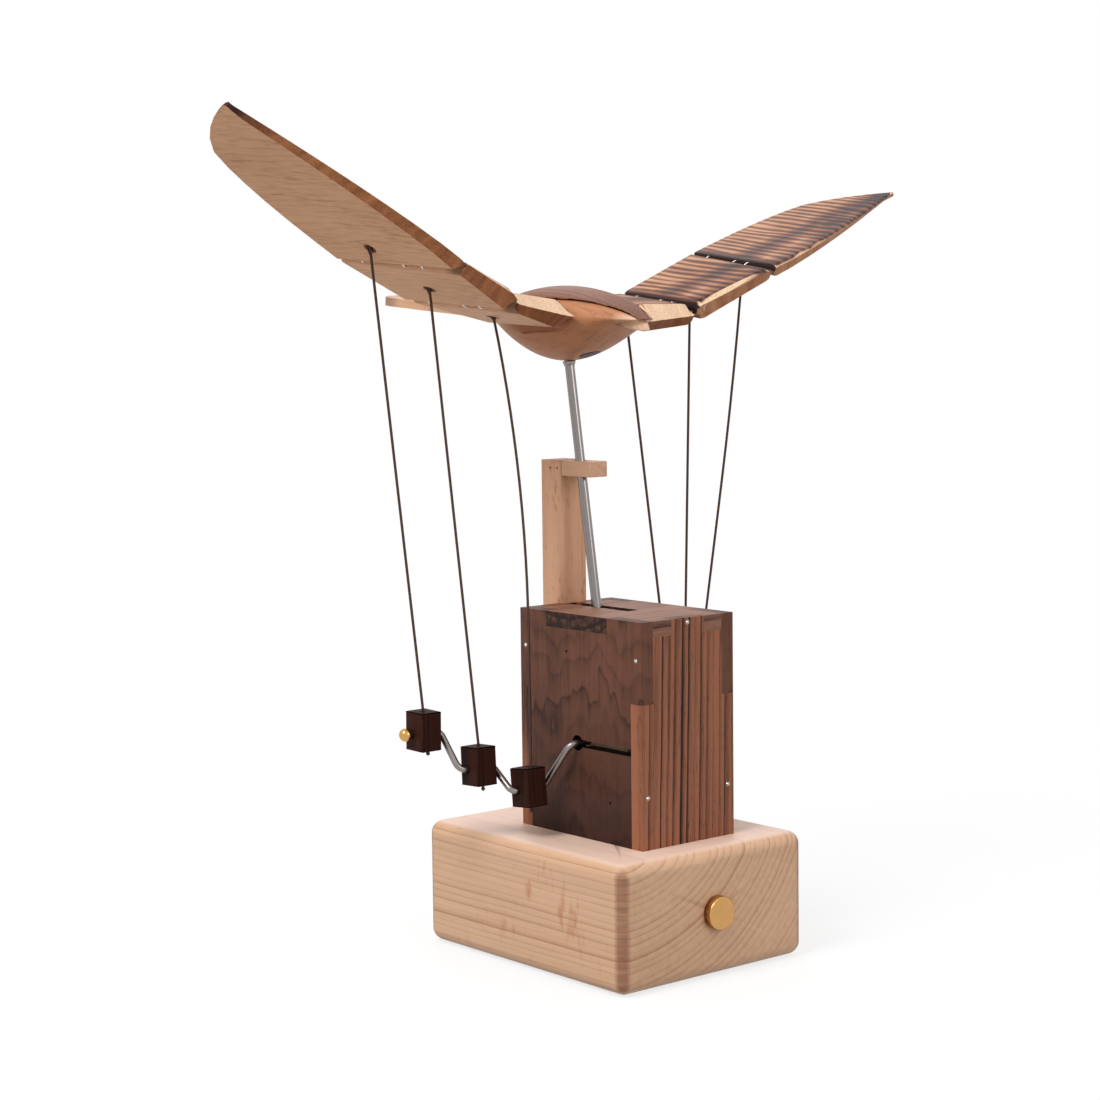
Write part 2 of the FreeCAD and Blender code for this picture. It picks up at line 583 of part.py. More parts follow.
def make_guide(post_screws):
    # The post stands behind the case and steps forward over its top; the arm's tongue is pinned in it.
    post = body("guide_post", x="post_left")
    profile = sketch(post, "YZ_Plane", "post_profile")
    outline(profile, ("case_back", "plinth_tall"), ("post_back", "plinth_tall"), ("post_back", "post_top"),
            ("post_front", "post_top"), ("post_front", "case_top"), ("case_back", "case_top"))
    pad(post, "post_stock", profile, "post_right - post_left")
    mortise = box("mortise", "tongue_left", "post_front", "post_top - arm_thick + tongue_inset",
                  "tongue_right - tongue_left", "tongue_deep", "arm_thick - 2 * tongue_inset")
    pins = []
    holes = []
    middle = "post_top - arm_thick / 2"
    for spot in ("near", "far"):
        y = f"post_front + {spot}_arm_pin"
        holes.append(cylinder(f"{spot}_arm_hole", "post_left", y, middle, "pin_radius",
                              "post_right - post_left", along_x))
        pins.append(cylinder(f"{spot}_arm_pin_stock", "post_left + pin_sunk", y, middle, "pin_radius",
                             "post_right - post_left - 2 * pin_sunk", along_x))
    arm_pins = node("arm_pins", together("arm_pins", *pins))
    arm_holes = together("arm_holes", *holes)
    node("guide_post", cut("guide_post_cut", post, mortise, arm_holes, post_screws))
    post.Label = "guide_post_stock"
    arm = body("guide_arm", z="post_top - arm_thick")
    plan = sketch(arm, "XY_Plane", "arm_plan")
    rectangle(plan, "post_left", "arm_front", "arm_right", "post_front")
    pad(arm, "arm_stock", plan, "arm_thick")
    hole = sketch(arm, "XY_Plane", "guide_hole")
    middle = "rod_at_case_top + rod_lean * (post_top - arm_thick / 2 - case_top)"
    rectangle(hole, "-rod_radius - guide_slot_slack", f"{middle} - guide_slot_long / 2",
              "rod_radius + guide_slot_slack", f"{middle} + guide_slot_long / 2")
    pocket(arm, "guide_slot", hole, None, True)
    tongue = box("tongue", "tongue_left", "post_front", "post_top - arm_thick + tongue_inset",
                 "tongue_right - tongue_left", "tongue_deep", "arm_thick - 2 * tongue_inset")
    node("guide_arm", cut("guide_arm_cut", join("guide_arm_join", arm, tongue), arm_pins))
    arm.Label = "guide_arm_stock"


# Drive: gear motor on a bracket, pinion, and the gear on the crank

def motor_axis():
    reach = size("tooth_module") * (size("gear_teeth") + size("pinion_teeth")) / 2
    turn = math.radians(size("motor_angle"))
    return (size("axis_back") + reach * math.cos(turn), size("axis_up") + reach * math.sin(turn))


keep("motor_back", round(motor_axis()[0], 4))
keep("motor_up", round(motor_axis()[1], 4))
doc.recompute()
bracket_screw_heights = [f"motor_up + {end} * (bracket_half - bracket_screw_edge)" for end in (-1, 1)]


def make_bracket_screws():
    screws = []
    for number, z in enumerate(bracket_screw_heights):
        shank = cylinder(f"bracket_shank_{number}", "bracket_screw_x",
                         "case_front + bracket_screw_start", z, "bracket_screw",
                         "board - bracket_screw_start + bracket_thick", along_y)
        head = cylinder(f"bracket_head_{number}", "bracket_screw_x",
                        "case_front + board + bracket_thick", z, "bracket_head",
                        "bracket_head_tall", along_y)
        screws.append(join(f"bracket_screw_{number}", head, shank))
    return node("bracket_screws", together("bracket_screws", *screws))


def tooth_outline(teeth, phase):
    # One closed wire of involute teeth, in the plane of Y and Z, about the origin.
    module = size("tooth_module")
    pitch = module * teeth / 2
    base = pitch * math.cos(math.radians(size("pressure_angle")))
    tip = pitch + size("tooth_above") * module
    root = pitch - size("tooth_below") * module
    half = (math.pi * module / 2 - size("tooth_backlash")) / 2 / pitch

    def involute(radius):
        return math.tan(math.acos(base / radius)) - math.acos(base / radius)

    start = max(root, base * 1.0001)
    radii = [start + (tip - start) * step / 3 for step in range(4)]
    points = []
    for tooth in range(teeth):
        middle = phase + 2 * math.pi * tooth / teeth
        flank = [(radius, half + involute(pitch) - involute(radius)) for radius in radii]
        below = [(root, flank[0][1])] if root < start else []
        for radius, turn in below + flank:
            points.append((radius, middle - turn))
        for radius, turn in reversed(below + flank):
            points.append((radius, middle + turn))
    corners = [Vector(0, radius * math.cos(turn), radius * math.sin(turn)) for radius, turn in points]
    return Part.makePolygon(corners + corners[:1])


def gear_shape(teeth, phase, thick, bore):
    face = Part.Face(tooth_outline(teeth, phase))
    solid = face.extrude(Vector(thick, 0, 0))
    if bore:
        solid = solid.cut(Part.makeCylinder(bore, thick, Vector(), Vector(1, 0, 0)))
    return solid


def make_drive():
    thick = size("gear_thick")
    near = size("gear_near")
    turn = math.radians(size("motor_angle"))
    gear_teeth = int(size("gear_teeth"))
    pinion_teeth = int(size("pinion_teeth"))
    gear = gear_shape(gear_teeth, turn, thick, size("wire_radius"))
    node("drive_gear", shaped("drive_gear", gear,
                              Placement(Vector(near, size("axis_back"), size("axis_up")), Rotation())))
    facing = turn + math.pi + math.pi / pinion_teeth
    pinion = gear_shape(pinion_teeth, facing, thick, 0)
    shaft_start = -near + size("motor_end")
    shaft = Part.makeCylinder(size("wire_radius"), thick - shaft_start, Vector(shaft_start, 0, 0),
                              Vector(1, 0, 0))
    seat = Placement(Vector(near, size("motor_back"), size("motor_up")), Rotation())
    node("motor_pinion", shaped("motor_pinion", pinion.fuse(shaft), seat))


def make_motor():
    # Gearbox and flat-sided can, held by a bracket that is screwed to the front board.
    face = "motor_end"
    gearbox = box("gearbox", f"{face} - gearbox_long", "motor_back - motor_wide / 2",
                  "motor_up - motor_tall / 2", "gearbox_long", "motor_wide", "motor_tall")
    can = cylinder("motor_can", f"{face} - gearbox_long - motor_long", "motor_back", "motor_up",
                   "motor_tall / 2", "motor_long", along_x)
    flats = box("motor_flats", f"{face} - gearbox_long - motor_long", "motor_back - motor_wide / 2",
                "motor_up - motor_tall / 2", "motor_long", "motor_wide", "motor_tall")
    node("gear_motor", join("gear_motor", gearbox, common("motor_can_flat", can, flats)))
    inner = "case_front + board"
    plate = box("bracket_plate", face, inner, "motor_up - bracket_half", "bracket_thick",
                f"motor_back + motor_wide / 2 - ({inner})", "2 * bracket_half")
    flange = box("bracket_flange", f"{face} + bracket_thick - flange_long", inner,
                 "motor_up - bracket_half", "flange_long", "bracket_thick", "2 * bracket_half")
    bore = cylinder("bracket_bore", face, "motor_back", "motor_up", "wire_radius + 0.4",
                    "bracket_thick", along_x)
    node("motor_bracket", cut("motor_bracket", join("bracket_stock", plate, flange), bore,
                              nodes["bracket_screws"]))


# Crank: one bent wire, the same on both sides

def rounded_path(corners, radii):
    # Straight runs joined by tangent arcs of the given radius at each inner corner.
    edges = []
    start = corners[0]
    for before, corner, after, radius in zip(corners, corners[1:], corners[2:], radii):
        inward = (before - corner).normalize()
        outward = (after - corner).normalize()
        half = inward.getAngle(outward) / 2
        reach = radius / math.tan(half)
        first = corner + inward * reach
        last = corner + outward * reach
        middle = (inward + outward).normalize()
        centre = corner + middle * (radius / math.sin(half))
        edges.append(Part.LineSegment(start, first).toShape())
        edges.append(Part.Arc(first, centre - middle * radius, last).toShape())
        start = last
    edges.append(Part.LineSegment(start, corners[-1]).toShape())
    return Part.Wire(edges)


def swept(path, radius):
    start = path.Edges[0]
    section = Part.Wire(Part.makeCircle(radius, start.valueAt(start.FirstParameter),
                                        start.tangentAt(start.FirstParameter)))
    return path.makePipeShell([section], True, False)


throws = ("inner", "middle", "outer")


def pin(throw, side):
    # The middle of a throw's pin. The last throw on the right is bent a little short.
    across = size(f"{throw}_pin_x")
    if throw == "outer" and side > 0:
        across -= size("right_outer_in")
    return Vector(side * across, size(f"{throw}_pin_y"), size(f"{throw}_pin_z"))


def rod_point(up):
    # A point on the axis of the lift rod.
    return Vector(0, size("rod_at_case_top") + size("rod_lean") * (up - size("case_top")), up)


def crank_corners(side):
    # Corners of the wire from the centre pin outwards, with the bend at each.
    easy = size("easy_bend")
    tight = size("tight_bend")
    gap = size("bend_gap")
    half = size("block_wide") / 2
    axis = Vector(0, size("axis_back"), size("axis_up"))
    centre = rod_point(size("centre_pin_up"))
    corners = []
    radii = []

    def turn_at(across, height, radius):
        corners.append(Vector(side * across, height.y, height.z))
        radii.append(radius)

    first = size("centre_wide") / 2 + gap + tight
    turn_at(first, centre, tight)
    turn_at(first, axis, tight)
    turn_at(size("case_half") + gap + easy, axis, easy)
    last = pin("inner", side)
    turn_at(side * last.x - half - gap - easy, last, easy)
    for throw, radius in (("middle", tight), ("outer", easy)):
        following = pin(throw, side)
        turn_at(side * last.x + half + gap + radius, last, radius)
        turn_at(side * following.x - half - gap - radius, following, radius)
        last = following
    end = last + Vector(side * (half + gap + size("ball_radius")), 0, 0)
    return corners + [end], radii


def make_crank():
    right, right_bends = crank_corners(1)
    left, left_bends = crank_corners(-1)
    corners = list(reversed(left)) + right
    radii = list(reversed(left_bends)) + right_bends
    node("crankshaft", shaped("crankshaft", swept(rounded_path(corners, radii), size("wire_radius"))))
    balls = []
    for side in (-1, 1):
        where = pin("outer", side) + Vector(side * (size("block_wide") / 2 + size("bend_gap")
                                                    + size("ball_radius")), 0, 0)
        slack = size("ball_slack")
        wire = Part.makeCylinder(size("wire_radius") + slack, 2 * size("ball_radius"),
                                 where + Vector(side * slack, 0, 0), Vector(-side, 0, 0))
        balls.append(Part.makeSphere(size("ball_radius"), where, Vector(side, 0, 0)).cut(wire))
    node("crank_balls", shaped("crank_balls", Part.makeCompound(balls)))


# Wings: frames of the panels, each with its origin, its way back, its way out and its way up

class Panel:
    def __init__(self, origin, back, out, up):
        self.origin = origin
        self.back = back
        self.out = out
        self.up = up

    def at(self, out, back, up=0):
        return self.origin + self.out * out + self.back * back + self.up * up

    def moved(self, out, back):
        return Panel(self.at(out, back), self.back, self.out, self.up)

    def splayed(self, degrees):
        turn = math.radians(degrees)
        back = self.back * math.cos(turn) + self.out * math.sin(turn)
        out = self.out * math.cos(turn) - self.back * math.sin(turn)
        return Panel(self.origin, back, out, self.up)

    def raised(self, degrees):
        turn = math.radians(degrees)
        out = self.out * math.cos(turn) + self.up * math.sin(turn)
        up = self.up * math.cos(turn) - self.out * math.sin(turn)
        return Panel(self.origin, self.back, out, up)


def wing_panels(side, name):
    pitch = math.radians(size(f"{name}_pitch"))
    back = Vector(0, math.cos(pitch), math.sin(pitch))
    up = Vector(0, -math.sin(pitch), math.cos(pitch))
    middle = Vector(side * size("hinge_half"), size("hinge_mid_y"), size("hinge_mid_z"))
    flat = Panel(middle - back * size("hinge_mid_back"), back, Vector(side, 0, 0), up)
    root = flat.raised(size(f"{name}_root"))
    mid = root.moved(size("root_out"), size("root_back")).splayed(size("seam_splay"))
    mid = mid.raised(size(f"{name}_mid"))
    tip = mid.moved(size("mid_out"), size("mid_back")).splayed(size("tip_splay")).raised(size(f"{name}_tip"))
    return {"root": root, "mid": mid, "tip": tip}


def between(first, second, share):
    return first + (second - first) * share


def section(panel, station, share):
    # One closed section of a panel, with its thickness scaled by the given share.
    chord = station.trail - station.lead
    nose = min(1, chord.Length / size("full_chord"))
    along = Vector(chord).normalize()
    corners = []
    for distance, height in ((0, station.ridge * station.thick),
                             (station.nose_top * nose, station.thick),
                             (chord.Length, station.thin), (chord.Length, -station.thin),
                             (station.nose_low * nose, -station.thick)):
        point = station.lead + along * distance
        corners.append(panel.at(point.x, point.y, height * share))
    return Part.makePolygon(corners + corners[:1])


class Station:
    # A leading point and a trailing one, half of the thickness at each, and the leading edge's
    # two facets, which meet at a share of the thickness.
    def __init__(self, lead, trail, thick, thin, ridge, nose_top, nose_low):
        self.lead = Vector(*lead, 0)
        self.trail = Vector(*trail, 0)
        self.thick = thick / 2
        self.thin = thin / 2
        self.ridge = ridge
        self.nose_top = nose_top
        self.nose_low = nose_low

    def inset(self, neighbour, turn):
        # Moved towards its neighbour to a place on the half-round end of a panel.
        short = 1 - math.sin(math.radians(turn))
        moved = Station((0, 0), (0, 0), 2 * self.thick, 2 * self.thin, self.ridge, self.nose_top,
                        self.nose_low)
        for name, half in (("lead", self.thick), ("trail", self.thin)):
            here = getattr(self, name)
            way = (getattr(neighbour, name) - here).normalize()
            setattr(moved, name, here + way * (size("hinge_gap") / 2 + half * short))
        return moved


def wing_shape(panel, stations, round_outer):
    # A ruled solid through its stations, with half-round ends along its hinge lines.
    wires = []

    def end_sections(station, neighbour, turns):
        for turn in turns:
            wires.append(section(panel, station.inset(neighbour, turn), math.cos(math.radians(turn))))

    end_sections(stations[0], stations[1], (80, 55, 28, 0))
    wires.extend(section(panel, station, 1) for station in stations[1:-1])
    if round_outer:
        end_sections(stations[-1], stations[-2], (0, 28, 55, 80))
    else:
        wires.append(section(panel, stations[-1], 1))
    return Part.makeLoft(wires, True, True)


def root_stations():
    # From the hinge at the body to the first seam, which is splayed.
    splay = math.radians(size("seam_splay"))
    lead = (size("root_out"), size("root_back"))
    trail = (lead[0] + size("seam_chord") * math.sin(splay), lead[1] + size("seam_chord") * math.cos(splay))
    ridge = size("root_ridge")
    return [Station((0, 0), (0, size("root_chord")), size("root_thick"), size("root_thin"), ridge,
                    size("root_nose_top"), size("root_nose_low")),
            Station(lead, trail, size("seam_thick"), size("seam_thin"), ridge,
                    size("seam_nose_top"), size("seam_nose_low"))]


def mid_stations():
    splay = math.radians(size("tip_splay"))
    lead = (size("mid_out"), size("mid_back"))
    trail = (lead[0] + size("tip_chord") * math.sin(splay), lead[1] + size("tip_chord") * math.cos(splay))
    facets = (size("mid_ridge"), size("mid_nose"), size("mid_nose"))
    return [Station((0, 0), (0, size("seam_chord")), size("seam_thick"), size("seam_thin"), *facets),
            Station(lead, trail, size("tip_thick"), size("tip_thin"), *facets)]


tip_sections = 12


def tip_stations():
    # The leading edge sweeps back along a power curve; the trailing edge bulges a little, then
    # closes to the tip along a flattened ellipse. The panel ends just before the two would cross.
    out = size("tip_out")
    straight = size("tip_straight")
    stations = []
    for step in range(tip_sections + 1):
        share = size("tip_last") * math.sin(math.pi / 2 * step / tip_sections)
        reach = out * share
        lead = size("tip_sweep") * share ** size("tip_sweep_curve")
        full = size("tip_chord") + size("tip_bulge") * math.sin(math.pi / 2 * min(1, reach / straight))
        over = max(0, (reach - straight) / (out - straight))
        closing = (1 - over ** size("tip_curve")) ** (1 / size("tip_curve"))
        trail = size("tip_end_back") + (full - size("tip_end_back")) * closing
        stations.append(Station((reach, lead), (reach, trail),
                                between(size("tip_thick"), size("end_thick"), share),
                                between(size("tip_thin"), size("end_thin"), share),
                                size("mid_ridge"), size("tip_nose"), size("tip_nose")))
    return stations


seam_sizes = {"root": ("root_chord", "root_thick", "root_thin"),
              "mid": ("seam_chord", "seam_thick", "seam_thin"),
              "tip": ("tip_chord", "tip_thick", "tip_thin")}


def hinge_rings(panel, seam, radius):
    # Wire rings through both sides of a seam, centred on its hinge line.
    chord, thick, thin = (size(name) for name in seam_sizes[seam])
    rings = []
    for share in (size("ring_fore"), size("ring_middle"), size("ring_aft")):
        major = min(size("ring_most"), between(thick, thin, share) / 2 - size("ring_sink"))
        rings.append(Part.makeTorus(major, radius, panel.at(0, chord * share), panel.back))
    return rings


def eye(panels, name, depth=0):
    # The middle of a pushrod's recess in the underside of a panel.
    stations = {"root": root_stations, "mid": mid_stations, "tip": tip_stations}[name]()
    out = size(f"eye_{name}_out")
    back = size(f"eye_{name}_back")
    inner = stations[0]
    outer = stations[-1]
    share = out / outer.lead.x
    lead = between(inner.thick, outer.thick, share)
    trail = between(inner.thin, outer.thin, share)
    along = back / between(inner.trail.y, outer.trail.y, share if name != "tip" else 0)
    return panels[name].at(out, back, depth - between(lead, trail, along))


def make_wings():
    tunnel = size("ring_radius") + size("ring_slack")
    body_rings = []
    for side, name in ((-1, "left"), (1, "right")):
        panels = wing_panels(side, name)
        makers = {"root": (root_stations(), True), "mid": (mid_stations(), True),
                  "tip": (tip_stations(), False)}
        seams = {seam: hinge_rings(panels[seam], seam, tunnel) for seam in makers}
        for part_name, (stations, round_outer) in makers.items():
            shape = wing_shape(panels[part_name], stations, round_outer)
            tools = list(seams[part_name])
            following = {"root": "mid", "mid": "tip"}.get(part_name)
            if following:
                tools += seams[following]
            shift = panels[part_name].back * size(f"{part_name}_recess_shift")
            recess = Part.makeCylinder(size("recess_radius"), size("recess_deep") + 1,
                                       eye(panels, part_name, -1) - shift, panels[part_name].up)
            node(f"{name}_wing_{part_name}", shaped(f"{name}_wing_{part_name}",
                                                    shape.cut(tools + [recess])))
        body_rings += hinge_rings(panels["root"], "root", size("ring_radius"))
        for seam in ("mid", "tip"):
            rings = Part.makeCompound(hinge_rings(panels[seam], seam, size("ring_radius")))
            node(f"{name}_{seam}_rings", shaped(f"{name}_{seam}_rings", rings))
    node("body_rings", shaped("body_rings", Part.makeCompound(body_rings)))


# Blocks and pushrods

throw_panels = {"inner": "root", "middle": "mid", "outer": "tip"}


def tilted(direction):
    # Turned about X only, so that Z leans to follow a rod and X stays along the crank pin.
    return Rotation(Vector(1, 0, 0), -math.degrees(math.atan2(direction.y, direction.z)))


def rod_start(throw, side):
    # Where a pushrod passes its crank pin, in front of it.
    return pin(throw, side) - Vector(0, size("rod_to_pin"), 0)


def rod_way(throw, side, name):
    # The straight part's direction and length, and the top end. A bowed rod leaves its block a
    # little to one side of its top end and comes back to it in an arc.
    panels = wing_panels(side, name)
    top = eye(panels, throw_panels[throw], size("hook_deep"))
    start = rod_start(throw, side)
    chord = top - start
    bows = {("inner", -1): "left_inner", ("outer", 1): "right_outer"}
    if (throw, side) not in bows:
        return Vector(chord).normalize(), None, top
    label = bows[throw, side]
    aside = Vector(size("bow_across"), size("bow_back"), 0)
    way = (Vector(chord).normalize() + aside * size(f"{label}_bow")).normalize()
    return way, chord.Length * size(f"{label}_straight"), top


def pushrod_path(throw, side, name):
    way, straight, top = rod_way(throw, side, name)
    start = rod_start(throw, side)
    low = start - way * (size("block_tall") / 2 - size("block_lift") + size("tail_below"))
    if straight is None:
        return Part.Wire(Part.LineSegment(low, top).toShape())
    bend = start + way * straight
    chord = top - bend
    aside = (way - chord * (way.dot(chord) / chord.dot(chord))).normalize()
    sag = chord.Length / 2 * math.tan(way.getAngle(chord) / 2)
    middle = bend + chord * 0.5 + aside * sag
    return Part.Wire([Part.LineSegment(low, bend).toShape(), Part.Arc(bend, middle, top).toShape()])


def make_pushrods():
    for side, name in ((-1, "left"), (1, "right")):
        for throw in throws:
            path = pushrod_path(throw, side, name)
            way, straight, top = rod_way(throw, side, name)
            wire = swept(path, size("pushrod_radius"))
            low = path.Edges[0].valueAt(path.Edges[0].FirstParameter)
            ends = [Part.makeSphere(size("tail_radius"), low), Part.makeSphere(size("hook_radius"), top)]
            node(f"{name}_pushrod_{throw}", shaped(f"{name}_pushrod_{throw}", wire.fuse(ends)))


def make_rod_blocks():
    # Each turns on its crank pin and leans with its rod, which passes just in front of the pin.
    for side, name in ((-1, "left"), (1, "right")):
        for throw in throws:
            label = f"{name}_{throw}_block"
            way, straight, top = rod_way(throw, side, name)
            where = pin(throw, side)
            lean = tilted(way)
            corner = lean.multVec(Vector(-size("block_wide") / 2,
                                         -size("block_deep") / 2 - size("rod_to_pin") / 2,
                                         size("block_lift") - size("block_tall") / 2))
            stock = tilted_box(f"{label}_stock", Placement(where + corner, lean), "block_wide",
                               "block_deep", "block_tall")
            doc.recompute()
            eased = doc.addObject("Part::Chamfer", f"{label}_eased")
            eased.Base = stock
            edge = size("block_edge")
            eased.Edges = [(number + 1, edge, edge) for number in range(len(stock.Shape.Edges))]
            outside = where - Vector(size("block_wide") / 2 + 1, 0, 0)
            bore = tilted_cylinder(f"{label}_bore", Placement(outside, along_x),
                                   "wire_radius + wire_slack", "block_wide + 2")
            below = rod_start(throw, side) - way * size("block_tall")
            hole = tilted_cylinder(f"{label}_hole", Placement(below, Rotation(Vector(0, 0, 1), way)),
                                   "pushrod_radius + pushrod_slack", "2 * block_tall")
            node(label, cut(label, eased, bore, hole))


def make_lift_rod():
    # The foot block on the centre pin, the steel rod, and the collar under the bird's belly.
    lean = tilted(Vector(0, size("rod_lean"), 1))
    foot = rod_point(size("centre_pin_up"))
    way = lean.multVec(Vector(0, 0, 1))
    corner = Vector(-size("centre_wide") / 2, -size("centre_deep") / 2, -size("centre_below"))
    stock = tilted_box("lift_block_stock", Placement(foot + lean.multVec(corner), lean), "centre_wide",
                       "centre_deep", "centre_below + centre_above")
    bore = Part.makeCylinder(size("wire_radius") + size("wire_slack"), size("centre_wide"),
                             foot - Vector(size("centre_wide") / 2, 0, 0), Vector(1, 0, 0))
    length = (size("rod_top") - size("centre_pin_up")) / way.z
    rod_shape = Part.makeCylinder(size("rod_radius"), length - size("rod_foot"),
                                  foot + way * size("rod_foot"), way)
    rod = node("lift_rod", shaped("lift_rod", rod_shape))
    node("lift_block", cut("lift_block", stock, rod, shaped("lift_block_bore", bore)))
    seat = rod_point(size("collar_up"))
    sleeve = Part.makeCone(size("rod_radius") + size("collar_wall"), size("collar_radius"),
                           size("collar_long"), seat - way * size("collar_long"), way)
    node("rod_collar", cut("rod_collar", shaped("collar_stock", sleeve), rod))
    return rod


# Bird's body

def fall_off(y, peak, fore, aft, grow):
    # One at the peak and zero at both ends of the body, with a power for each side.
    front = size("body_front") - grow
    back = size("body_back") + grow
    share = (peak - y) / (peak - front) if y < peak else (y - peak) / (back - peak)
    return (1 - share ** 2) ** (fore if y < peak else aft)


def body_section(y, grow):
    # A closed curve across the body: half an ellipse above its middle line, and one below it.
    across = (size("body_half") + grow) * fall_off(y, size("body_widest"), size("plan_fore"),
                                                   size("plan_aft"), grow)
    rise = (size("back_rise") + grow) * fall_off(y, size("back_top"), size("back_fore"),
                                                 size("back_aft"), grow)
    drop = size("belly_drop") * fall_off(y, size("belly_low"), size("belly_fore"),
                                         size("belly_aft"), grow)
    centre = size("body_floor") + size("body_slope") * (y - size("body_front"))
    points = []
    for step in range(section_points):
        turn = 2 * math.pi * step / section_points
        height = rise if turn < math.pi else drop
        points.append(Vector(across * math.cos(turn), y, centre + height * math.sin(turn)))
    curve = Part.BSplineCurve()
    curve.interpolate(Points=points, PeriodicFlag=True)
    return Part.Wire(curve.toShape())


section_points = 16
body_sections = 14
blunt_end = 0.8
crown_points = 12
beak_points = 6


def body_shape(grow):
    front = size("body_front") - grow + blunt_end
    back = size("body_back") + grow - blunt_end
    shares = [(1 - math.cos(math.pi * step / body_sections)) / 2 for step in range(body_sections + 1)]
    wires = [body_section(between(front, back, share), grow) for share in shares]
    return Part.makeLoft(wires, True, False)


def crown_line(y):
    # The joint between crown and body falls away from its peak, faster towards the beak.
    end = "fore" if y < size("crown_peak") else "aft"
    power = size("crown_fore_power") if end == "fore" else 2
    share = abs(y - size("crown_peak")) / size(f"crown_{end}_long")
    return Vector(0, y, size("crown_up") - size(f"crown_{end}_fall") * share ** power)


def crown_space():
    # All that lies above the joint between the crown and the body.
    front = size("crown_front")
    back = size("crown_back")
    line = [crown_line(between(front, back, step / crown_points)) for step in range(crown_points + 1)]
    curve = Part.BSplineCurve()
    curve.interpolate(line)
    behind = Vector(0, back, size("crown_over"))
    ahead = Vector(0, front, size("crown_over"))
    over = [Part.LineSegment(line[-1], behind).toShape(), Part.LineSegment(behind, ahead).toShape(),
            Part.LineSegment(ahead, line[0]).toShape()]
    face = Part.Face(Part.Wire([curve.toShape()] + over))
    face.translate(Vector(-size("crown_beside"), 0, 0))
    return face.extrude(Vector(2 * size("crown_beside"), 0, 0))


def beak_section(share):
    # From the beak's tip, at share 0, back to where it runs into the head.
    y = between(size("beak_front"), size("beak_back"), share)
    widening = math.sin(math.pi / 2 * share ** size("beak_plan"))
    half = between(size("beak_tip_half"), size("beak_half"), widening)
    under = size("beak_under") + size("beak_under_climb") * share ** size("beak_under_curve")
    edge = size("beak_edge") + size("beak_edge_climb") * share ** size("beak_edge_curve")
    top = size("beak_top") + size("beak_top_climb") * share ** size("beak_top_curve")
    narrow = half * size("beak_top_share")
    corners = [Vector(0, y, under), Vector(half, y, edge), Vector(narrow, y, top),
               Vector(-narrow, y, top), Vector(-half, y, edge)]
    return Part.makePolygon(corners + corners[:1])


def beak_shape():
    shares = [(step / beak_points) ** 1.4 for step in range(beak_points + 1)]
    return Part.makeLoft([beak_section(share) for share in shares], True, True)


def make_bird(rod):
    envelope = shaped("body_envelope", body_shape(0))
    cap = shaped("crown_envelope", body_shape(size("crown_lip")))
    above = shaped("crown_space", crown_space())
    flanks = []
    tunnels = []
    for side, name in ((-1, "left"), (1, "right")):
        start = "flank" if side > 0 else "-flank - body_half"
        flanks.append(box(f"{name}_flank", start, "flank_front", f"{name}_flank_low", "body_half",
                          "flank_back - flank_front", f"flank_top - {name}_flank_low"))
        root = wing_panels(side, name)["root"]
        tunnels += hinge_rings(root, "root", size("ring_radius") + size("ring_slack"))
    ring_space = shaped("ring_space", Part.makeCompound(tunnels))
    tail = make_tail()
    plug_space = cylinder("plug_space", "plug_x", "plug_y", "plug_low", "plug_radius",
                          "plug_high - plug_low")
    stock = cut("body_stock", envelope, above)
    node("belly_plug", common("belly_plug", stock, plug_space))
    headed = join("body_with_beak", stock, shaped("beak", beak_shape()))
    node("bird_body", cut("bird_body", headed, *flanks, ring_space, rod, plug_space, tail, above))
    node("bird_crown", cut("bird_crown", common("crown_stock", cap, above), *flanks, ring_space, tail))


def make_tail():
    # A flat paddle with a round end, let into the back of the body.
    tail = body("bird_tail", y="tail_start", z="tail_up")
    tail.Placement = Placement(tail.Placement.Base, Rotation(Vector(1, 0, 0), size("tail_pitch")))
    plan = sketch(tail, "XY_Plane", "tail_plan")
    outline(plan, ("-tail_root / 2", "0"), ("tail_root / 2", "0"),
            ("tail_wide / 2", "tail_round - tail_start"), ("-tail_wide / 2", "tail_round - tail_start"))
    pad(tail, "tail_blade", plan, "tail_thick")
    end = sketch(tail, "XY_Plane", "tail_end_plan")
    circle(end, "0", "tail_round - tail_start", "tail_wide / 2")
    pad(tail, "tail_end", end, "tail_thick")
    return node("bird_tail", tail)


def check_and_export():
    doc.recompute()
    for item in doc.Objects:
        for fault in ("Invalid", "Error"):
            if fault in item.State:
                raise RuntimeError(f"{item.Label}: {item.State}")
    os.makedirs("parts", exist_ok=True)
    for label, piece in nodes.items():
        shape = piece.Shape
        if shape.isNull() or not shape.isValid() or not shape.Solids:
            raise RuntimeError(f"{label}: its shape is not a valid solid")
        print(f"{label}: {len(shape.Solids)} solids, {shape.Volume:.1f} mm3")
        shape.exportStep(f"parts/{label}.step")


make_plinth()
make_cover()
make_batteries()
make_control()
post_screw_set = make_case()
make_guide(post_screw_set)
make_drive()
make_motor()
make_crank()
make_wings()
make_pushrods()
make_rod_blocks()
lift_rod_piece = make_lift_rod()
make_bird(lift_rod_piece)
check_and_export()
print(f"{len(nodes)} sub-parts")
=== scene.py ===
import bpy
import bmesh
import json
import math
from mathutils import Matrix, Vector


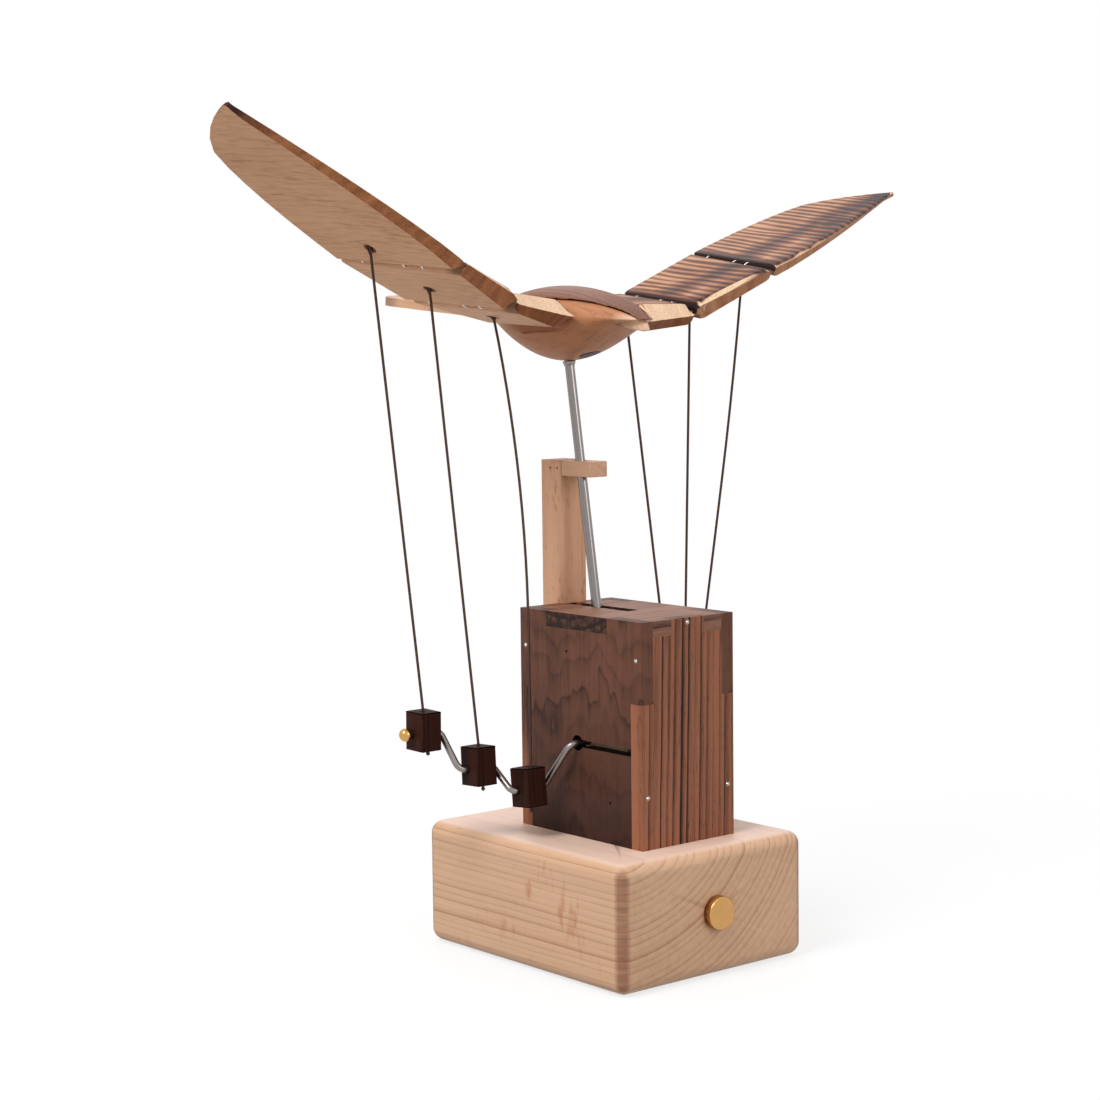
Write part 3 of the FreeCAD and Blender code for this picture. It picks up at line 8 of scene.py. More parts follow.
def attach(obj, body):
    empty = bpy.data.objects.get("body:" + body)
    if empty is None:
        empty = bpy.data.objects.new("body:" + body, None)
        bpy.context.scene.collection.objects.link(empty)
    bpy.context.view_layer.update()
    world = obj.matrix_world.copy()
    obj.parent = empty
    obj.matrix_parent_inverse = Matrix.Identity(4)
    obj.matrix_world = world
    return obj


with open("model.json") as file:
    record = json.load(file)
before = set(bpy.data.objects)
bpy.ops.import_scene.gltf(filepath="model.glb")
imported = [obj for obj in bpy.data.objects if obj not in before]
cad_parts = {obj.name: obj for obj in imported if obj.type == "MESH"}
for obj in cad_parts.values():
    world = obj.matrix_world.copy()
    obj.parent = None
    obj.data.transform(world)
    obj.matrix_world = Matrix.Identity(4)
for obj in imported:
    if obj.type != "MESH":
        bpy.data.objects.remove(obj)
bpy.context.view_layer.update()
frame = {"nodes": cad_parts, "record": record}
record = frame["record"]
cad = frame["nodes"]


mm = 0.001

# Camera

view = {"place": (-707.7, -806.2, 284.2), "azimuth": math.radians(-39.84), "elevation": math.radians(5.38),
        "roll": math.radians(-0.71), "sensor": 36, "lens": 77.92, "near": 0.05, "far": 20}
acrossView = Vector((math.cos(view["azimuth"]), math.sin(view["azimuth"]), 0))


def makeCamera():
    azimuth, elevation, roll = view["azimuth"], view["elevation"], view["roll"]
    back = Vector((math.sin(azimuth) * math.cos(elevation), -math.cos(azimuth) * math.cos(elevation),
                   math.sin(elevation)))
    up = back.cross(acrossView)
    right = acrossView * math.cos(roll) + up * math.sin(roll)
    top = up * math.cos(roll) - acrossView * math.sin(roll)
    data = bpy.data.cameras.new("camera")
    data.sensor_width = view["sensor"]
    data.lens = view["lens"]
    data.clip_start = view["near"]
    data.clip_end = view["far"]
    camera = bpy.data.objects.new("camera", data)
    turn = Matrix((right, top, back)).transposed()
    camera.matrix_world = Matrix.Translation(Vector(view["place"]) * mm) @ turn.to_4x4()
    bpy.context.scene.collection.objects.link(camera)
    bpy.context.scene.camera = camera


# Colours and nodes

def srgb(red, green, blue):
    # a colour as it looks on a screen, 0 to 255, turned into scene light
    def linear(value):
        value /= 255
        return value / 12.92 if value < 0.04045 else ((value + 0.055) / 1.055) ** 2.4
    return (linear(red), linear(green), linear(blue), 1)


def grey(value):
    return (value, value, value, 1)


def darker(colour, share):
    return tuple(channel * share for channel in colour[:3]) + (1,)


class Nodes:
    # a node tree, with short ways to add to it; each returns the new node's output
    def __init__(self, tree):
        self.tree = tree
        tree.nodes.clear()

    def add(self, kind, inputs=None, **settings):
        node = self.tree.nodes.new(kind)
        for name, value in settings.items():
            setattr(node, name, value)
        for name, value in (inputs or {}).items():
            self.feed(node, name, value)
        return node

    def feed(self, node, name, value):
        if isinstance(value, bpy.types.NodeSocket):
            self.tree.links.new(value, node.inputs[name])
        else:
            node.inputs[name].default_value = value

    def calc(self, operation, first, second=0.0, clamp=False):
        node = self.add("ShaderNodeMath", {0: first, 1: second}, operation=operation, use_clamp=clamp)
        return node.outputs[0]

    def times(self, first, second):
        return self.calc("MULTIPLY", first, second)

    def minus(self, first, second):
        return self.calc("SUBTRACT", first, second)

    def larger(self, first, second):
        return self.calc("MAXIMUM", first, second)

    def absolute(self, value):
        return self.calc("ABSOLUTE", value)

    def total(self, first, *others):
        for other in others:
            first = self.calc("ADD", first, other)
        return first

    def clamped(self, value):
        return self.calc("ADD", value, 0.0, clamp=True)

    def swing(self, noise, amount):
        # a noise moved to swing round zero
        return self.times(self.minus(noise, 0.5), amount)

    def along(self, point, direction):
        return self.add("ShaderNodeVectorMath", {0: point, 1: tuple(direction)},
                        operation="DOT_PRODUCT").outputs["Value"]

    def vector(self, x, y, z):
        return self.add("ShaderNodeCombineXYZ", {0: x, 1: y, 2: z}).outputs[0]

    def moved(self, point, offset, operation="ADD"):
        return self.add("ShaderNodeVectorMath", {0: point, 1: tuple(offset)}, operation=operation).outputs[0]

    def noise(self, point, scale, detail=2.0, rough=0.5, distortion=0.0):
        # a scale of three numbers stretches the noise
        if isinstance(scale, tuple):
            point = self.moved(point, scale, "MULTIPLY")
            scale = 1
        return self.add("ShaderNodeTexNoise", {"Vector": point, "Scale": scale, "Detail": detail,
                                               "Roughness": rough, "Distortion": distortion}).outputs["Fac"]

    def remap(self, value, low, high, toLow=0.0, toHigh=1.0):
        return self.add("ShaderNodeMapRange", {"Value": value, "From Min": low, "From Max": high,
                                               "To Min": toLow, "To Max": toHigh}, clamp=True).outputs[0]

    def ramp(self, value, stops):
        node = self.add("ShaderNodeValToRGB", {"Fac": value})
        elements = node.color_ramp.elements
        while len(elements) < len(stops):
            elements.new(0.5)
        for element, (place, tone) in zip(elements, stops):
            element.position = place
            element.color = grey(tone) if isinstance(tone, float) else tone
        return node.outputs["Color"]

    def mix(self, share, first, second):
        node = self.add("ShaderNodeMix", data_type="RGBA")
        for spot, value in ((0, share), (6, first), (7, second)):
            self.feed(node, spot, value)
        return node.outputs[2]

    def either(self, share, first, second):
        return self.add("ShaderNodeMixShader", {0: share, 1: first, 2: second}).outputs[0]

    def straightRays(self):
        # rays that the camera, a shiny surface or glass sends straight to the room
        path = self.add("ShaderNodeLightPath").outputs
        share = self.larger(path["Is Camera Ray"], path["Is Glossy Ray"])
        return self.larger(share, path["Is Transmission Ray"])


class Shader(Nodes):
    # a material with one surface
    def __init__(self, name):
        self.material = bpy.data.materials.new(name)
        self.material.use_nodes = True
        super().__init__(self.material.node_tree)
        self.surface = self.add("ShaderNodeBsdfPrincipled")
        self.output = self.add("ShaderNodeOutputMaterial", {"Surface": self.surface.outputs[0]})
        self.place = self.add("ShaderNodeTexCoord").outputs["Object"]

    def look(self, **values):
        names = {"colour": "Base Color", "rough": "Roughness", "gloss": "Specular IOR Level",
                 "metallic": "Metallic", "brushed": "Anisotropic", "tangent": "Tangent"}
        for name, value in values.items():
            self.feed(self.surface, names[name], value)

    def facing(self, direction):
        # 1 on faces that look that way, -1 on those that look away
        normal = self.add("ShaderNodeTexCoord").outputs["Normal"]
        return self.along(normal, direction)

    def bump(self, height, strength, distance):
        node = self.add("ShaderNodeBump", {"Height": height, "Strength": strength, "Distance": distance})
        self.feed(self.surface, "Normal", node.outputs[0])


# Room, floor and lamps

room = {"glow": ((0.0, 0.1), (0.47, 0.2), (0.56, 0.42), (0.75, 0.5), (1.0, 0.9))}  # from below to above
floorPaint = {"tones": (srgb(176, 174, 172), srgb(168, 166, 164)), "grain": 60, "rough": 0.8, "reach": 4,
              "shown": (grey(0.95), grey(0.92)), "fade": (0.1, 0.5), "white": 0.76, "drop": 0.0005}
lamps = {"keyLamp": {"place": (-1.3, -0.1, 1.7), "target": (0, 0, 0.15), "size": 0.9, "power": 25},
         "fillLamp": {"place": (0.3, -1.8, 0.9), "target": (0, 0, 0.15), "size": 1.0, "power": 6.5},
         "backLamp": {"place": (0.9, 1.2, 1.5), "target": (0, 0, 0.2), "size": 0.8, "power": 4.5}}


def makeRoom():
    # seen straight, the room is white, and the light that it gives is stronger from above
    world = bpy.data.worlds.new("room")
    bpy.context.scene.world = world
    world.use_nodes = True
    nodes = Nodes(world.node_tree)
    height = nodes.along(nodes.add("ShaderNodeTexCoord").outputs["Generated"], (0, 0, 1))
    sky = nodes.ramp(nodes.remap(height, -1, 1), room["glow"])
    glow = nodes.add("ShaderNodeBackground", {"Color": sky, "Strength": 1.0}).outputs[0]
    seen = nodes.add("ShaderNodeBackground", {"Color": grey(1), "Strength": 1.0}).outputs[0]
    nodes.add("ShaderNodeOutputWorld", {"Surface": nodes.either(nodes.straightRays(), glow, seen)})


def floorMaterial():
    # seen straight, the floor is white, keeps a soft shadow near the object and fades into the room
    paint = Shader("floorPaint")
    grain = paint.noise(paint.place, floorPaint["grain"], 3.0, 0.6)
    paint.look(colour=paint.mix(grain, *floorPaint["tones"]), rough=floorPaint["rough"])
    paint.bump(grain, 0.05, 0.0005)
    bright = paint.add("ShaderNodeEmission", {"Color": grey(1), "Strength": 1.0}).outputs[0]
    matt = paint.add("ShaderNodeBsdfDiffuse", {"Color": paint.mix(grain, *floorPaint["shown"])}).outputs[0]
    away = paint.add("ShaderNodeVectorMath", {0: paint.place}, operation="LENGTH").outputs["Value"]
    shown = paint.either(paint.remap(away, *floorPaint["fade"], floorPaint["white"], 1.0), matt, bright)
    paint.feed(paint.output, "Surface", paint.either(paint.straightRays(), paint.surface.outputs[0], shown))
    return paint.material


def makeFloor():
    reach = floorPaint["reach"]
    mesh = bpy.data.meshes.new("floor")
    corners = [(-reach, -reach, 0), (reach, -reach, 0), (reach, reach, 0), (-reach, reach, 0)]
    mesh.from_pydata(corners, [], [(0, 1, 2, 3)])
    mesh.materials.append(floorMaterial())
    floor = bpy.data.objects.new("floor", mesh)
    floor.location.z = -floorPaint["drop"]
    bpy.context.scene.collection.objects.link(floor)


def makeLamps():
    for name, lamp in lamps.items():
        data = bpy.data.lights.new(name, "AREA")
        data.shape = "DISK"
        data.size = lamp["size"]
        data.energy = lamp["power"]
        light = bpy.data.objects.new(name, data)
        light.location = lamp["place"]
        light.rotation_mode = "QUATERNION"
        way = Vector(lamp["target"]) - Vector(lamp["place"])
        light.rotation_quaternion = way.to_track_quat("-Z", "Y")
        bpy.context.scene.collection.objects.link(light)


# Wood

beechRing = ((0.0, 0.45), (0.1, 0.0), (0.6, 0.12), (0.88, 0.4), (0.96, 1.0), (1.0, 0.45))
walnutRing = ((0.0, 0.35), (0.14, 0.0), (0.5, 0.2), (0.82, 0.7), (0.93, 1.0), (1.0, 0.35))
sawn = {"fibre": (0, 0, 1), "normal": (1, 0, 0), "centre": (0.3, 0.0), "figure": 0.0, "rough": 0.5}
beech = dict(sawn, light=srgb(222, 181, 147), dark=srgb(148, 90, 58), ring=beechRing, spacing=0.0034,
             wave=0.2, ringDepth=0.34, fibreDepth=0.14, poreDepth=0.1, fleckDepth=0.14,
             fleckTone=srgb(190, 118, 70), endDark=0.08, shade=0.12, gloss=0.25, raySize=(250, 60, 620))
walnut = dict(sawn, light=srgb(124, 80, 60), dark=srgb(40, 22, 18), ring=walnutRing, spacing=0.0045,
              wave=0.4, ringDepth=0.5, fibreDepth=0.3, poreDepth=0.3, fleckDepth=0.0, endDark=0.35,
              shade=0.25, gloss=0.16, raySize=(330, 60, 900))
# how often each pattern repeats in a metre: along the fibre, in from the face and across
grainSize = {"slow": (8, 26, 26), "slower": (3, 9, 9), "swirl": (16, 30, 52), "fine": (60, 1700, 1700),
             "streak": (12, 300, 300), "pore": (240, 2400, 2400), "patch": (24, 30, 40)}


def growthRings(shader, look, grain, length, depth, across):
    # rings round an axis along the fibre; a figure makes them climb along the board
    slow = shader.noise(grain, grainSize["slow"])
    slower = shader.noise(grain, grainSize["slower"], 1.0)
    first = shader.minus(depth, look["centre"][0])
    second = shader.minus(across, look["centre"][1])
    radius = shader.calc("SQRT", shader.total(shader.times(first, first), shader.times(second, second)))
    around = shader.times(shader.calc("ARCTAN2", second, first), 0.1)
    turns = shader.calc("DIVIDE", radius, look["spacing"])
    turns = shader.total(turns, shader.times(slow, look["wave"] * 5), shader.times(slower, look["wave"] * 9))
    if look["figure"]:
        swirl = shader.noise(grain, grainSize["swirl"], 2.0, 0.55, 0.6)
        turns = shader.total(turns, shader.calc("DIVIDE", length, look["figure"]), shader.times(swirl, 4.2))
    jitter = shader.noise(shader.vector(shader.times(turns, 0.6), 0.0, 0.0), 1.0, 1.0)
    turns = shader.total(turns, shader.times(jitter, 1.5))
    ring = shader.ramp(shader.calc("FRACT", turns), look["ring"])
    strength = shader.noise(shader.vector(shader.calc("FLOOR", turns), 3.3, 0.0), 1.7, 0.0)
    ring = shader.times(ring, shader.remap(strength, 0.3, 0.7, 0.3, 1.15))
    cloud = shader.total(shader.swing(slow, look["shade"] * 2), shader.swing(slower, look["shade"] * 2))
    return ring, cloud, shader.vector(length, radius, around)


def wood(name, kind, tint=None, **changes):
    # growth rings with fibres, pores and rays
    look = dict(kind, **changes)
    shader = Shader(name)
    fibre = Vector(look["fibre"]).normalized()
    normal = Vector(look["normal"])
    normal = (normal - fibre * normal.dot(fibre)).normalized()
    length, depth, across = (shader.along(shader.place, way) for way in (fibre, normal, fibre.cross(normal)))
    ends = shader.absolute(shader.facing(fibre))
    grain = shader.vector(length, depth, across)
    ring, cloud, polar = growthRings(shader, look, grain, length, depth, across)
    fine = shader.noise(grain, grainSize["fine"], 3.0, 0.6)
    streak = shader.noise(grain, grainSize["streak"], 2.0, 0.55)
    pore = shader.remap(shader.noise(grain, grainSize["pore"], 1.0), 0.6, 0.7)
    rays = shader.remap(shader.noise(polar, look["raySize"]), 0.56, 0.72)
    fleck = shader.times(rays, shader.remap(shader.noise(polar, grainSize["patch"]), 0.45, 0.65))
    fleck = shader.times(fleck, shader.remap(ends, 0.6, 0.3))
    darkness = shader.total(shader.times(ring, look["ringDepth"]),
                            shader.swing(fine, look["fibreDepth"] * 2),
                            shader.swing(streak, look["fibreDepth"] * 2.6),
                            shader.times(pore, look["poreDepth"]), cloud,
                            shader.times(fleck, look["fleckDepth"]),
                            shader.times(shader.calc("POWER", ends, 3.0), look["endDark"]))
    colour = shader.mix(shader.clamped(darkness), look["light"], look["dark"])
    if look["fleckDepth"]:
        colour = shader.mix(shader.times(fleck, 0.5), colour, look["fleckTone"])
    if tint:
        colour = tint(shader, colour)
    shader.look(colour=colour, gloss=look["gloss"],
                rough=shader.total(shader.times(fine, 0.2), look["rough"] - 0.1))
    relief = shader.total(shader.times(fine, 0.5), shader.times(pore, -0.9), shader.times(ring, -0.3))
    shader.bump(relief, 0.3, 0.00015)
    return shader.material


# Plinth, post and arm

plinthLook = {"fibre": (0, 1, 0), "normal": (0, 0, 1), "centre": (0.108, -0.058), "spacing": 0.0033,
              "wave": 0.12, "fleckDepth": 0.16, "ringDepth": 0.55, "gloss": 0.3, "rough": 0.46}
# the top tone is a painted sheen: faces that look up are painted lighter and pinker where light from above
# reflects
plinthTones = {"corner": srgb(126, 74, 50), "cornerShare": 0.75, "top": srgb(244, 218, 208), "paintedSheenShare": 0.55}
postLook = {"light": srgb(232, 180, 144), "dark": srgb(140, 80, 54), "normal": (1, 1, 0),
            "centre": (0.12, 0.0), "spacing": 0.004, "ringDepth": 0.12, "fibreDepth": 0.34,
            "fleckDepth": 0.45}
armLook = dict(postLook, fibre=(0, 1, 0), normal=(0, 0, 1), light=srgb(224, 176, 144))
innerLook = {"centre": (0.12, 0.0)}


def plinthOilAndPaintedSheen(shader, base):
    # its upright corners show raw fibre ends, so the oil darkens them, and its top is painted lighter and
    # pinker as a painted sheen from the light above
    both = shader.times(shader.absolute(shader.facing((1, 0, 0))), shader.absolute(shader.facing((0, 1, 0))))
    lines = shader.noise(shader.place, (30, 30, 420), 3.0, 0.6)
    share = shader.times(shader.remap(both, 0.12, 0.42), shader.remap(lines, 0.2, 0.6, 0.5, 1.0))
    base = shader.mix(shader.times(share, plinthTones["cornerShare"]), base, plinthTones["corner"])
    # painted sheen: faces that look up are mixed towards the pale top tone
    up = shader.remap(shader.facing((0, 0, 1)), 0.8, 0.98, 0.0, plinthTones["paintedSheenShare"])
    return shader.mix(up, base, plinthTones["top"])


# Case and blocks

sideLook = {"light": srgb(112, 72, 56), "centre": (0.4, 0.0), "spacing": 0.02, "figure": 0.016, "wave": 0.3,
            "ringDepth": 0.62, "fibreDepth": 0.36}
sideFoot = {"from": 125, "to": 60, "share": 0.8, "tone": srgb(38, 18, 13)}
# the slot's inside is painted near black: painted shade, where little light gets in
slotPaintedShade = {"low": (-60, -60, 88), "high": (60, -4, 108), "tone": srgb(8, 5, 4)}
frontLook = {"light": srgb(160, 103, 76), "dark": srgb(30, 15, 12), "fibre": (0.02, 0, 1),
             "normal": (1, 0.3, 0), "centre": (0.5, 0.0), "spacing": 0.0036, "wave": 0.12,
             "ringDepth": 1.15, "fibreDepth": 0.4}
# the case top's light tone is raised as a painted sheen from the light above
caseTopSheenLook = {"light": srgb(150, 106, 86), "fibre": (1, 0, 0), "normal": (0, 0, 1), "centre": (0.2, 0.0),
           "spacing": 0.005, "endDark": 0.8, "fibreDepth": 0.4}
blockLook = {"light": srgb(58, 27, 18), "dark": srgb(12, 6, 5), "normal": (1, 0.3, 0), "centre": (0.1, 0.0),
             "spacing": 0.0025, "wave": 0.2, "ringDepth": 0.6, "gloss": 0.08, "rough": 0.6}


def sideFootAndSlotShade(shader, base):
    # a side board is darker towards its foot, and the inside of its sawn slot is painted near black as painted
    # shade
    cloud = shader.noise(shader.place, (14, 14, 10))
    height = shader.total(shader.along(shader.place, (0, 0, 1)), shader.swing(cloud, 0.05))
    foot = shader.remap(height, sideFoot["from"] * mm, sideFoot["to"] * mm, 0.0, sideFoot["share"])
    base = shader.mix(foot, base, sideFoot["tone"])
    # painted shade on the slot's inner faces
    slotShade = shader.remap(shader.absolute(shader.facing((1, 0, 0))), 0.6, 0.4)
    for way, start, end in zip(((1, 0, 0), (0, 1, 0), (0, 0, 1)), slotPaintedShade["low"], slotPaintedShade["high"]):
        spot = shader.along(shader.place, way)
        slotShade = shader.times(slotShade, shader.calc("GREATER_THAN", spot, start * mm))
        slotShade = shader.times(slotShade, shader.calc("LESS_THAN", spot, end * mm))
    return shader.mix(slotShade, base, slotPaintedShade["tone"])


# Body and tail

bodyLook = {"light": srgb(184, 124, 86), "dark": srgb(92, 46, 26), "fibre": (0, 1, 0.1),
            "normal": (0.5, 0, 1), "centre": (0.33, 0.0), "spacing": 0.0028, "wave": 0.9, "ringDepth": 0.3,
            "fibreDepth": 0.46, "fleckDepth": 0.5}
beak = {"from": -16, "to": -23, "share": 0.8, "tone": srgb(236, 198, 168)}
tailLook = {"light": srgb(218, 172, 138), "dark": srgb(124, 76, 50), "fibre": (0, 1, 0.1),
            "normal": (0, 0, 1), "centre": (0.12, 0.0), "spacing": 0.004, "wave": 0.3}
tailEnd = {"from": 138, "to": 157, "tone": srgb(66, 38, 34)}
crownLook = {"light": srgb(130, 82, 60), "dark": srgb(54, 30, 24), "fibre": (0, 1, 0), "normal": (0.4, 0, 1),
             "centre": (0.34, 0.0), "spacing": 0.0042, "wave": 0.5, "ringDepth": 0.5}
plugLook = {"light": srgb(84, 52, 42)}


def bodyTint(shader, base):
    # the beak is bare and pale
    ahead = shader.along(shader.place, (0, 1, 0))
    bare = shader.remap(ahead, beak["from"] * mm, beak["to"] * mm, 0.0, beak["share"])
    return shader.mix(bare, base, beak["tone"])


def tailTint(shader, base):
    # the flame has darkened the tail's edge, more so towards its end
    cloud = shader.noise(shader.place, (60, 60, 60))
    far = shader.total(shader.along(shader.place, (0, 1, 0)), shader.swing(cloud, 0.02))
    edge = shader.remap(shader.absolute(shader.facing((0, 0, 1))), 1.0, 0.6, 0.5, 1.0)
    return shader.mix(shader.times(shader.remap(far, tailEnd["from"] * mm, tailEnd["to"] * mm), edge), base,
                      tailEnd["tone"])


# Wings

panelNodes = {"root": "root", "middle": "mid", "tip": "tip"}
panelSeed = {"root": 0.1, "middle": 0.3, "tip": 0.6, "left": 0.05, "right": 0.0}
oiled = {"light": srgb(230, 180, 141), "dark": srgb(136, 80, 50), "rings": 0.0042, "ringDepth": 0.22,
         "fibreDepth": 0.5, "wavyDepth": 0.5, "shade": 0.5, "deeper": 0.06, "rough": 0.42, "gloss": 0.08}
# leading facet colours, partly end grain and partly painted light: pale above as a painted highlight, brown
# below partly as painted shade
facetLitAndShaded = {"upper": (srgb(238, 204, 172), srgb(170, 118, 82)), "root": (srgb(164, 102, 66), srgb(84, 46, 28)),
          "left": (srgb(196, 130, 88), srgb(100, 56, 34)), "right": (srgb(206, 150, 112), srgb(136, 84, 56))}
flame = {"tones": ((0.0, srgb(206, 158, 122)), (0.35, srgb(150, 97, 68)), (0.65, srgb(86, 51, 40)),
                   (1.0, srgb(42, 27, 29))),
         "stripe": 0.0046, "drift": 26.0, "soften": 3.0, "band": 0.46, "spine": 0.42, "edge": 0.45,
         "cloud": 0.6, "ends": 0.95, "all": 0.13, "fine": 0.3, "ragged": 0.03, "spineFade": (0.014, 0.001),
         "edgeFade": (0.014, 0.002), "hingeFade": (0.0075, 0.002), "outerFade": (0.008, 0.003),
         "burnt": srgb(42, 24, 22), "rim": srgb(74, 42, 40), "rimSpan": (0.088, 0.104)}
# how the leading edge draws back along the span, where the darkest line starts and how it slopes
tipShape = {"span": 0.1132, "lead": 0.0545, "power": 1.258, "spine": (0.032, 0.026)}
panelShape = {"root": {"lead": 0.05, "spine": (0.034, 0.0), "last": 0.0337},
              "middle": {"lead": -0.14, "spine": (0.034, -0.35), "last": 0.0432}}
endSlant = 0.16  # of the outer ends, over the chord


class PanelShader(Shader):
    # a panel's shader, with its hinge line, the way back along it, the way out and the way up at rest
    def __init__(self, side, panel):
        super().__init__(f"{side}{panel.title()}Wing")
        self.side = side
        self.panel = panel
        joints = {joint["name"]: joint for joint in record["behaviour"]["joints"]}
        joint = joints[f"{side}_{panel}_hinge"]
        back = Vector(joint["axis"]).normalized()
        if back.y < 0:
            back = -back
        mesh = cad[f"{side}_wing_{panelNodes[panel]}"]
        corners = mesh.data.vertices
        out = sum((mesh.matrix_world @ corner.co for corner in corners), Vector()) / len(corners)
        out = out - Vector(joint["pos_m"])
        out = (out - back * out.dot(back)).normalized()
        up = out.cross(back)
        if up.z < 0:
            up = -up
        spot = self.moved(self.place, joint["pos_m"], "SUBTRACT")
        self.chord, self.span, self.height = (self.along(spot, way) for way in (back, out, up))
        self.above = self.facing(up)
        self.ahead = self.times(self.facing(back), -1.0)
        self.aside = self.absolute(self.facing(out))
        seed = panelSeed[panel] + panelSeed[side]
        self.grain = self.moved(self.vector(self.chord, self.height, self.span), (seed, seed, seed))
        self.fine = self.noise(self.grain, (70, 1500, 1500), 3.0, 0.6)

    def oiledBeech(self):
        # fine wavy lines that run with the chord
        slow = self.noise(self.grain, (14, 60, 34), 3.0, 0.55)
        wavy = self.noise(self.grain, (80, 700, 860), 3.0, 0.6, 0.8)
        turns = self.total(self.calc("DIVIDE", self.span, oiled["rings"]), self.times(slow, 5.0),
                           self.times(self.height, 90.0))
        ring = self.ramp(self.calc("FRACT", turns), beechRing)
        patch = self.remap(self.noise(self.grain, (30, 60, 60)), 0.3, 0.6)
        lines = self.times(self.remap(wavy, 0.5, 0.7), self.times(patch, oiled["wavyDepth"]))
        darkness = self.total(self.times(ring, oiled["ringDepth"]), self.swing(self.fine, oiled["fibreDepth"]),
                              lines, self.swing(slow, oiled["shade"]), oiled["deeper"])
        return self.mix(self.clamped(darkness), oiled["light"], oiled["dark"])

    # they cut across the fibres, so both show end grain; the upper facet is painted pale and dotted as a
    # painted highlight from the light above, and the lower one brown, partly end grain and partly painted
    # shade, as it faces down
    def leadingFacets(self, colour):
        # they cut across the fibres: pale and dotted above, brown below
        dots = self.noise(self.grain, (900, 1500, 1500), 2.0, 0.6)
        bands = self.noise(self.grain, (1, 60, 240))
        upper = self.clamped(self.total(self.swing(dots, 1.4), self.swing(bands, 0.6), 0.16))
        lower = self.clamped(self.total(self.swing(dots, 1.0), self.swing(bands, 1.3), 0.4))
        facet = self.remap(self.ahead, 0.3, 0.42)
        pale = self.mix(upper, *facetLitAndShaded["upper"])
        shadedBrown = self.mix(lower, *facetLitAndShaded["root" if self.panel == "root" else self.side])
        # painted highlight on the upper facet, painted shade on the lower one
        colour = self.mix(self.times(facet, self.remap(self.above, -0.02, 0.1)), colour, pale)
        return self.mix(self.times(facet, self.remap(self.above, 0.02, -0.1)), colour, shadedBrown)

    def flameMarks(self):
        # stripes along the chord, darker in the middle, behind the leading edge and at every end
        if self.panel == "tip":
            share = self.clamped(self.calc("DIVIDE", self.span, tipShape["span"]))
            lead = self.times(self.calc("POWER", share, tipShape["power"]), tipShape["lead"])
            start, slope = tipShape["spine"]
            middle = self.total(self.times(share, slope), start)
        else:
            shape = panelShape[self.panel]
            lead = self.times(self.span, shape["lead"])
            start, slope = shape["spine"]
            middle = self.total(self.times(self.span, slope), start)
        self.inward = self.minus(self.chord, lead)
        drift = self.times(self.noise(self.grain, (7, 40, 26)), flame["drift"])
        stripe = self.calc("SINE", self.total(self.times(self.span, 2 * math.pi / flame["stripe"]), drift))
        soft = self.noise(self.grain, (14, 60, 170), 2.0, 0.55)
        self.band = self.remap(self.total(stripe, self.swing(soft, flame["soften"])), -0.7, 0.9)
        wide = self.noise(self.grain, (28, 30, 46))
        ragged = self.swing(wide, flame["ragged"])
        offMiddle = self.absolute(self.minus(self.chord, middle))
        spine = self.remap(self.total(offMiddle, ragged), *flame["spineFade"])
        edge = self.remap(self.total(self.inward, ragged), *flame["edgeFade"])
        ends = self.remap(self.span, *flame["hingeFade"])
        if self.panel != "tip":
            outer = self.minus(self.span, self.times(self.chord, endSlant))
            pale, black = (panelShape[self.panel]["last"] - before for before in flame["outerFade"])
            ends = self.larger(ends, self.remap(outer, pale, black))
        heat = self.total(self.times(self.band, flame["band"]), self.times(spine, flame["spine"]),
                          self.times(edge, flame["edge"]), self.swing(wide, flame["cloud"]), flame["all"])
        heat = self.larger(self.clamped(heat), self.times(ends, flame["ends"]))
        return self.ramp(self.clamped(self.total(heat, self.swing(self.fine, flame["fine"]))), flame["tones"])

    def burntEnds(self, colour):
        # burnt black above and at the leading edge, and bare below; browned at the left point
        front = self.remap(self.inward, 0.012, 0.006, 0.0, 0.6)
        upper = self.larger(self.remap(self.above, -0.1, 0.25), front)
        turned = self.remap(self.aside, 0.2, 0.36)
        if self.panel == "tip":
            inner = self.times(self.remap(self.span, 0.004, 0.002), turned)
            turned = self.larger(self.remap(self.aside, 0.42, 0.62), inner)
        colour = self.mix(self.times(turned, upper), colour, flame["burnt"])
        if self.panel == "tip" and self.side == "left":
            steep = self.remap(self.absolute(self.above), 0.93, 0.75)
            rim = self.times(self.remap(self.span, *flame["rimSpan"]), steep)
            colour = self.mix(rim, colour, flame["rim"])
        return colour


def panelMaterial(side, panel):
    shader = PanelShader(side, panel)
    colour = shader.leadingFacets(shader.oiledBeech())
    colour = shader.mix(shader.remap(shader.above, 0.9, 0.965), colour, shader.flameMarks())
    shader.look(colour=shader.burntEnds(colour), gloss=oiled["gloss"],
                rough=shader.total(shader.times(shader.fine, 0.2), oiled["rough"]))
    shader.bump(shader.total(shader.times(shader.fine, 0.5), shader.times(shader.band, -0.2)), 0.3, 0.00015)
    return shader.material


# Metal and plastic

